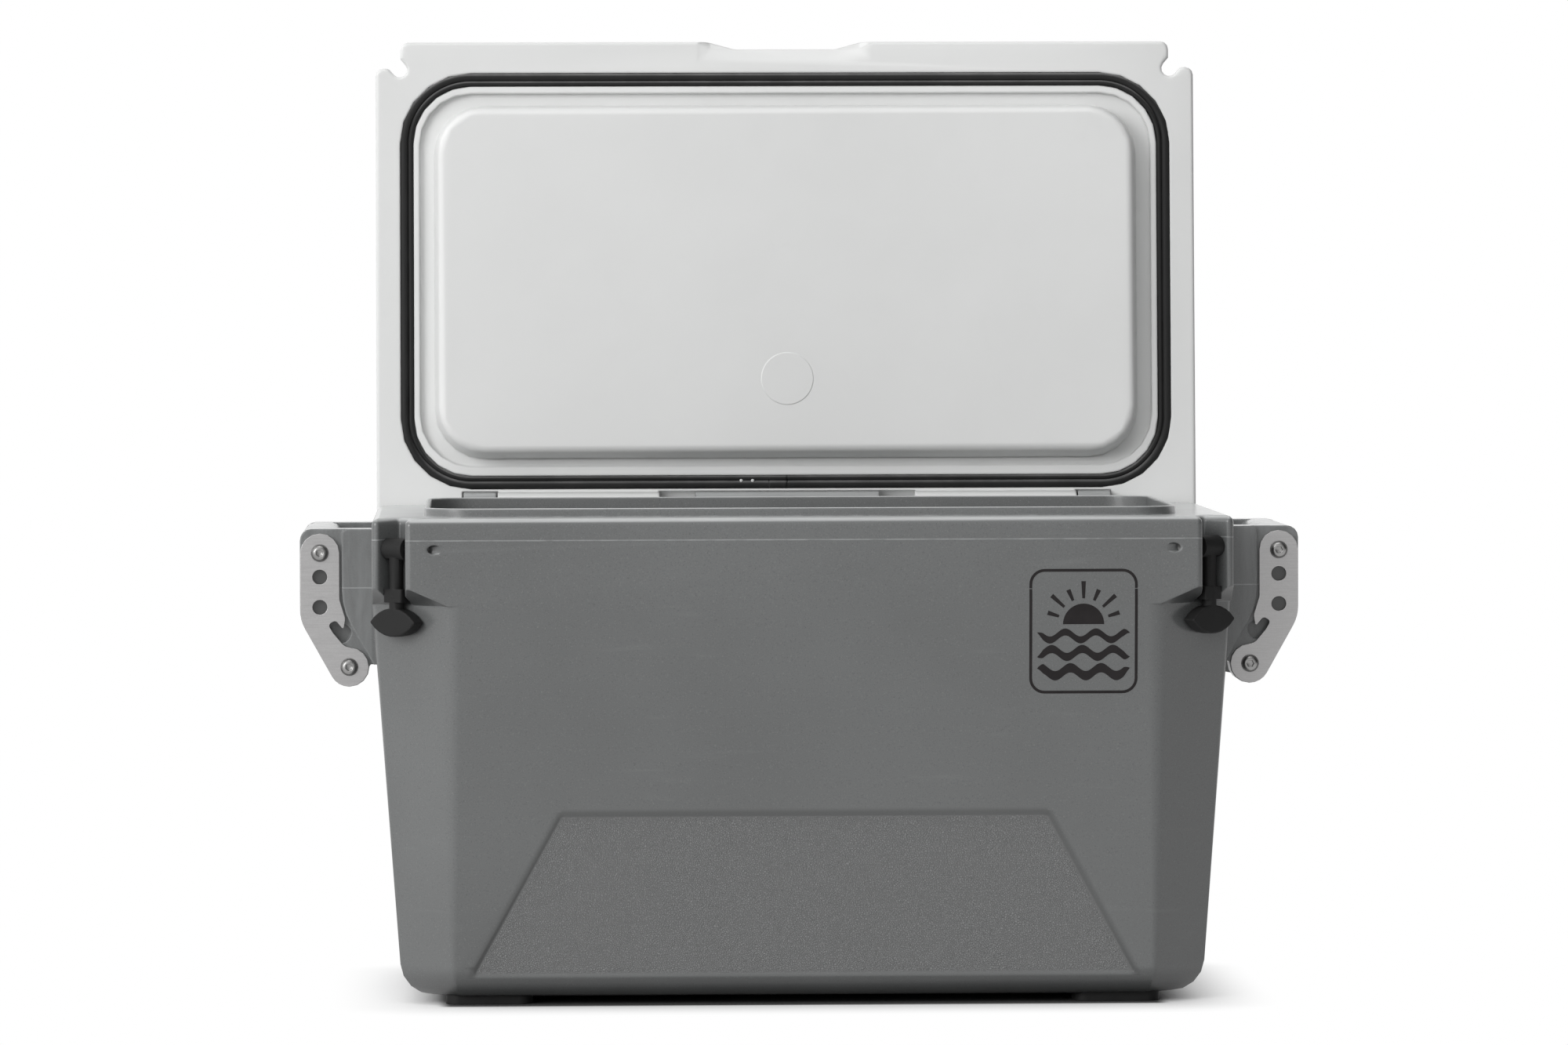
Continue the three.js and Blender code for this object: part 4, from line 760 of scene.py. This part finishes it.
def gasket_splice():
    """Where the seal's ends meet: a sleeve that swells towards one end, near the hinge."""
    bm = bmesh.new()
    loops = []
    for k in range(SPLICE_RINGS):
        x = SPLICE_START + SPLICE_STEP * k
        along = k / (SPLICE_RINGS - 1)
        swell = SPLICE_LEAST + SPLICE_GROWTH * along ** SPLICE_CURVE
        ripple = RIPPLE_HEIGHT * math.sin(RIPPLE_STEP * k)
        loop = []
        for across, up in gasket_profile(swell):
            point = on_lid(x, GASKET_END - across, LID_UNDER - up - ripple * (up > 0))
            loop.append(bm.verts.new(point))
        loops.append(loop)
    return closed_sweep(bm, loops, "gasket_splice")


def gasket_pip(x):
    """A small pale plug in the seal: a low dome with a rolled edge."""
    bm = bmesh.new()
    y = GASKET_END - PIP_ACROSS
    loops = []
    for radius, height in PIP_RINGS:
        loop = []
        for k in range(PIP_SIDES):
            a = 2 * math.pi * k / PIP_SIDES
            px, py = x + radius * math.cos(a), y + radius * math.sin(a)
            loop.append(bm.verts.new(on_lid(px, py, LID_UNDER - PIP_SINK - height)))
        loops.append(loop)
    return closed_sweep(bm, loops, "gasket_pip")


gasket = add_piece("gasket_ring", gasket_ring(), FINISHES["gasket_rubber"], "lid")
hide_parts("lid_gasket")
add_piece("gasket_splice", gasket_splice(), FINISHES["gasket_rubber"], "lid")
for number, x in enumerate(PIP_PLACES):
    add_piece(f"gasket_pip_{number}", gasket_pip(x), FINISHES["lid_plastic"], "lid")

# Outline of the button-headed bolts, as radius and height over the plate, in mm.
BOLT_SHANK = ((0.0, -20.0), (3.3, -20.0), (4.0, -19.2), (4.0, 0.05))
BOLT_FLANGE = ((7.2, 0.05), (7.5, 0.3), (7.5, 0.8), (7.2, 1.05), (6.75, 0.95))
DOME_CENTRE = (3.7, 1.3)
DOME_ROUND = (2.9, 3.0)
DOME_TURNS = range(0, 91, 15)
BOLT_TOP = (3.35, 4.3)
# The socket's rings also say how far they are from a circle, at 0, to a hexagon, at 1.
BOLT_SOCKET = (
    (2.6, 3.95, 1.0), (2.5, 3.7, 1.0), (2.5, 1.9, 1.0), (1.3, 1.5, 0.5), (0.0, 1.3, 0.0)
)
BOLT_SIDES = 48
# Degrees that a bolt is turned by, for each letter of its place's name and to either side.
SPIN_PER_LETTER = 17
SPIN_PER_SIDE = 40


def bolt_ring(bm, radius, height, hexagon):
    """One ring of a bolt's vertices, or a single one in its middle."""
    if radius == 0.0:
        return [bm.verts.new((0.0, 0.0, height / 1000))]
    ring = []
    for k in range(BOLT_SIDES):
        a = 2 * math.pi * k / BOLT_SIDES
        flat = math.cos((a + math.pi / 6) % (math.pi / 3) - math.pi / 6)
        r = radius * (1 + hexagon * (1 / flat - 1)) / 1000
        ring.append(bm.verts.new((r * math.cos(a), r * math.sin(a), height / 1000)))
    return ring


def bolt_mesh():
    """Button-headed bolt with a hexagon socket, head towards +Z, in metres; its flange is a
    darker steel, painted shade.
    """
    dome = []
    for turn in DOME_TURNS:
        a = math.radians(turn)
        radius = DOME_CENTRE[0] + DOME_ROUND[0] * math.cos(a)
        dome.append((radius, DOME_CENTRE[1] + DOME_ROUND[1] * math.sin(a)))
    outline = [*BOLT_SHANK, *BOLT_FLANGE, *dome, BOLT_TOP]
    bm = bmesh.new()
    loops = [bolt_ring(bm, radius, height, 0.0) for radius, height in outline]
    loops += [bolt_ring(bm, *ring) for ring in BOLT_SOCKET]
    # The flange's faces take the darker steel, painted shade.
    shaded_flange = range(len(BOLT_SHANK) - 1, len(BOLT_SHANK) + len(BOLT_FLANGE))
    for index, (one, two) in enumerate(zip(loops, loops[1:])):
        for face in bridge(bm, one, two):
            face.material_index = int(index in shaded_flange)
    return mesh_from(bm, "button_bolt")


BOLT = bolt_mesh()
for side_name, side in (("left", -1), ("right", 1)):
    for end_name, face, way in (("front", PLATE_FRONT, 1), ("back", PLATE_BACK, -1)):
        for level, (out, up) in (("upper", UPPER_BOLT), ("lower", LOWER_BOLT)):
            where = f"{side_name}_{end_name}_{level}"
            spin = math.radians(SPIN_PER_LETTER * len(where) + SPIN_PER_SIDE * side)
            place = Matrix.Translation(at(side * out, face, up))
            facing = Matrix.Rotation(way * math.pi / 2, 4, "X")
            mesh = BOLT.copy()
            mesh.transform(place @ facing @ Matrix.Rotation(spin, 4, "Z"))
            name = f"button_bolt_{where}"
            bolt = add_piece(name, mesh, FINISHES["stainless_steel"], "body")
            mesh.materials.append(FLANGE_SHADE_STEEL)
            bolt.modifiers.new("smooth", "NODES").node_group = SMOOTH_BOLT
            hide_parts(f"plate_bolt_{where}")
bpy.data.meshes.remove(BOLT)

# The printed badge, in mm of X and Z from its middle: a rounded frame, a sun with rays, and
# three bands of waves, each given by its height and thickness.
BADGE_MIDDLE = (236.5, 318.5)
BADGE_HALF_WIDTH = 46.0
BADGE_HALF_HEIGHT = 53.0
BADGE_CORNER = 13.0
BADGE_CORNER_STEPS = 8
BADGE_SIDE_STEPS = 20
BADGE_LINE = 2.4
INK_FRONT = 0.2
INK_BACK = 0.02
SUN_BASE = 6.0
SUN_RADIUS = 17.5
SUN_STEPS = 24
RAY_TURNS = range(18, 163, 24)
RAY_START = 22.0
RAY_ENDS = (32.0, 36.5)
RAY_HALF = 1.9
RAY_TAPER = 0.6
WAVES = ((-4.0, 6.0), (-18.5, 7.0), (-34.5, 8.0))
WAVE_REACH = 39.5
WAVE_RISE = 3.4
WAVE_LENGTH = 26.0
WAVE_EASE = 5.0
WAVE_STEPS = 60


def front_point(u, w, out):
    """A point of the badge in front of the front wall, which leans in below the band."""
    x = BADGE_MIDDLE[0] + u
    z = BADGE_MIDDLE[1] + w
    return at(x, max(0.0, BAND_BOTTOM - z) * WALL_DRAFT - out, z)


def badge_frame():
    """Pairs of points along the frame's line, on its outer and its inner edge."""
    across = BADGE_HALF_WIDTH - BADGE_CORNER
    up = BADGE_HALF_HEIGHT - BADGE_CORNER
    edges = []
    for inset in (0.0, BADGE_LINE):
        reach = BADGE_CORNER - inset
        edge = []
        for cx, cz, start in ((1, 1, 0), (-1, 1, 90), (-1, -1, 180), (1, -1, 270)):
            for k in range(BADGE_CORNER_STEPS + 1):
                a = math.radians(start + 90 * k / BADGE_CORNER_STEPS)
                edge.append((cx * across + reach * math.cos(a), cz * up + reach * math.sin(a)))
            # The upright sides have points between, for the wall's bend. They run back along
            # the side, so that two long faces of each side lie under the others.
            if cx * cz < 0:
                u = edge[-1][0]
                for k in range(1, BADGE_SIDE_STEPS):
                    edge.append((u, -cx * up * (2 * k / BADGE_SIDE_STEPS - 1)))
        edges.append([*edge, edge[0]])
    return list(zip(*edges))


def badge_sun():
    """Pairs of points along half a disc over the water, on its round and on its base."""
    pairs = []
    for k in range(SUN_STEPS + 1):
        a = math.radians(180 * k / SUN_STEPS)
        u = SUN_RADIUS * math.cos(a)
        pairs.append(((u, SUN_BASE + SUN_RADIUS * math.sin(a)), (u, SUN_BASE)))
    return pairs


def badge_ray(turn, far):
    """The two pairs of points at the ends of a ray, which widens outwards."""
    a = math.radians(turn)
    along_u, along_w = math.cos(a), math.sin(a)
    pairs = []
    for reach, half in ((RAY_START, RAY_HALF * RAY_TAPER), (far, RAY_HALF)):
        pairs.append([
            (reach * along_u - aside * along_w, SUN_BASE + reach * along_w + aside * along_u)
            for aside in (half, -half)
        ])
    return pairs


def badge_wave(level, thick):
    """Pairs of points along a band of waves, on its upper and lower edge; its ends are sharp."""
    pairs = []
    for k in range(WAVE_STEPS + 1):
        u = -WAVE_REACH + 2 * WAVE_REACH * k / WAVE_STEPS
        middle = level + WAVE_RISE * math.sin(2 * math.pi * (u + level) / WAVE_LENGTH)
        half = thick / 2 * min(1.0, (WAVE_REACH - abs(u)) / WAVE_EASE)
        pairs.append(((u, middle + half), (u, middle - half)))
    return pairs


def badge_mesh():
    """The badge as thin closed strips of ink that follow the wall."""
    strips = [badge_frame(), badge_sun()]
    strips += [badge_ray(turn, RAY_ENDS[k % 2]) for k, turn in enumerate(RAY_TURNS)]
    strips += [badge_wave(level, thick) for level, thick in WAVES]
    bm = bmesh.new()
    for strip in strips:
        rows = []
        for pair in strip:
            front = [bm.verts.new(front_point(u, w, INK_FRONT)) for u, w in pair]
            back = [bm.verts.new(front_point(u, w, INK_BACK)) for u, w in pair]
            rows.append((*front, *reversed(back)))
        for one, two in zip(rows, rows[1:]):
            bridge(bm, one, two)
        if rows[0][0].co != rows[-1][0].co:
            bm.faces.new(rows[0])
            bm.faces.new(tuple(reversed(rows[-1])))
    bmesh.ops.remove_doubles(bm, verts=bm.verts, dist=1e-6)
    bmesh.ops.dissolve_degenerate(bm, edges=bm.edges, dist=1e-7)
    return mesh_from(bm, "front_badge", smooth=False)


add_piece("front_badge", badge_mesh(), print_ink(), "body")

# Light: the floor's tone for soft light, the world's level, lean and least, and the backdrop's
# brightness and the directions over which it comes in.
FLOOR_TONE = 0.25
WORLD_LEVEL = 0.5
WORLD_LEAN = (-0.8, -0.42, 0.08)
WORLD_LEAST = 0.04
BACKDROP = 1.0
BACKDROP_EDGE = (0.3, 0.65)
# The floor, in metres: its size, the cooler's footprint, the reach of a shadow painted into the
# floor's tone under it with the floor's tones there, and how far off the floor has turned white.
FLOOR_HALF = 60.0
FOOTPRINT_HALF_WIDTH = 0.3
FOOTPRINT_HALF_DEPTH = 0.1725
FOOTPRINT_MIDDLE = -0.0405
PAINTED_SHADOW_REACH = 0.014
PAINTED_SHADOW_TONES = (0.09, 0.85)
WHITE_REACH = 0.11
# Square lamps: name, place, size in metres and power in watts.
LAMPS = (
    ("key", (-4.2, -4.6, 2.4), 3.0, 175.0),
    ("top", (-0.4, -0.6, 6.2), 4.0, 95.0),
)
LAMP_AIM = (0.0, 0.0, 0.4)


def make_stage():
    """Floor: a dull grey for soft light; seen directly, white away from the cooler's shadow, and
    painted darker under the cooler.
    """
    bm = bmesh.new()
    for across, along in ((-1, -1), (1, -1), (1, 1), (-1, 1)):
        bm.verts.new((across * FLOOR_HALF, along * FLOOR_HALF, 0.0))
    bm.faces.new(bm.verts)
    floor = bpy.data.objects.new("floor", mesh_from(bm, "floor", smooth=False))
    bpy.context.scene.collection.objects.link(floor)
    shade = Shade("studio_floor")
    path = shade.node("ShaderNodeLightPath").outputs
    through = shade.math("MAXIMUM", path["Is Glossy Ray"], path["Is Transmission Ray"])
    seen = shade.math("MAXIMUM", path["Is Camera Ray"], through)
    x, y, _ = shade.xyz()
    from_middle = shade.math("ADD", y, -FOOTPRINT_MIDDLE)
    beyond = []
    for distance, half in ((x, FOOTPRINT_HALF_WIDTH), (from_middle, FOOTPRINT_HALF_DEPTH)):
        outside = shade.minus(shade.math("ABSOLUTE", distance), half)
        beyond.append(shade.math("MAXIMUM", outside, 0.0))
    away = shade.length(*beyond)
    grit = shade.span(shade.noise(400.0, 3.0, 0.6), 0.3, 0.7, 0.0, 0.05)
    # Painted shadow: the floor's own tone is darker under the cooler.
    tone = shade.math("ADD", shade.span(away, 0.0, PAINTED_SHADOW_REACH, *PAINTED_SHADOW_TONES), grit)
    near = shade.node("ShaderNodeBsdfDiffuse", {"Color": tone}).outputs[0]
    glow = shade.node("ShaderNodeEmission", {"Color": WHITE, "Strength": 1.0}).outputs[0]
    pale = shade.one_of(shade.span(away, 0.0, WHITE_REACH), near, glow)
    plain = shade.node("ShaderNodeBsdfDiffuse", {"Color": grey(FLOOR_TONE)}).outputs[0]
    floor.data.materials.append(shade.close(shade.one_of(seen, plain, pale)))


def make_world():
    """Soft light, stronger from the left and front, and a backdrop; white when seen directly."""
    shade = Shade("studio", world=True)
    seen = shade.node("ShaderNodeLightPath").outputs["Is Camera Ray"]
    _, y, _ = shade.xyz()
    inputs = {0: shade.place, 1: WORLD_LEAN}
    lean = shade.node("ShaderNodeVectorMath", inputs, operation="DOT_PRODUCT").outputs["Value"]
    front = shade.math("MAXIMUM", shade.math("ADD", lean, WORLD_LEVEL), WORLD_LEAST)
    behind = shade.span(y, *BACKDROP_EDGE)
    strength = shade.math("ADD", front, shade.times(behind, shade.minus(BACKDROP, front)))
    lights = [
        shade.node("ShaderNodeBackground", {"Color": WHITE, "Strength": level}).outputs[0]
        for level in (strength, 1.0)
    ]
    bpy.context.scene.world = shade.close(shade.one_of(seen, *lights))


def make_lamp(name, place, size, power):
    data = bpy.data.lights.new(name, "AREA")
    data.shape = "SQUARE"
    data.size = size
    data.energy = power
    lamp = bpy.data.objects.new(name, data)
    lamp.location = place
    lamp.rotation_mode = "QUATERNION"
    lamp.rotation_quaternion = (Vector(LAMP_AIM) - Vector(place)).to_track_quat("-Z", "Y")
    lamp.visible_camera = False
    bpy.context.scene.collection.objects.link(lamp)


make_stage()
make_world()
for lamp in LAMPS:
    make_lamp(*lamp)

bpy.context.scene.view_settings.view_transform = "Standard"
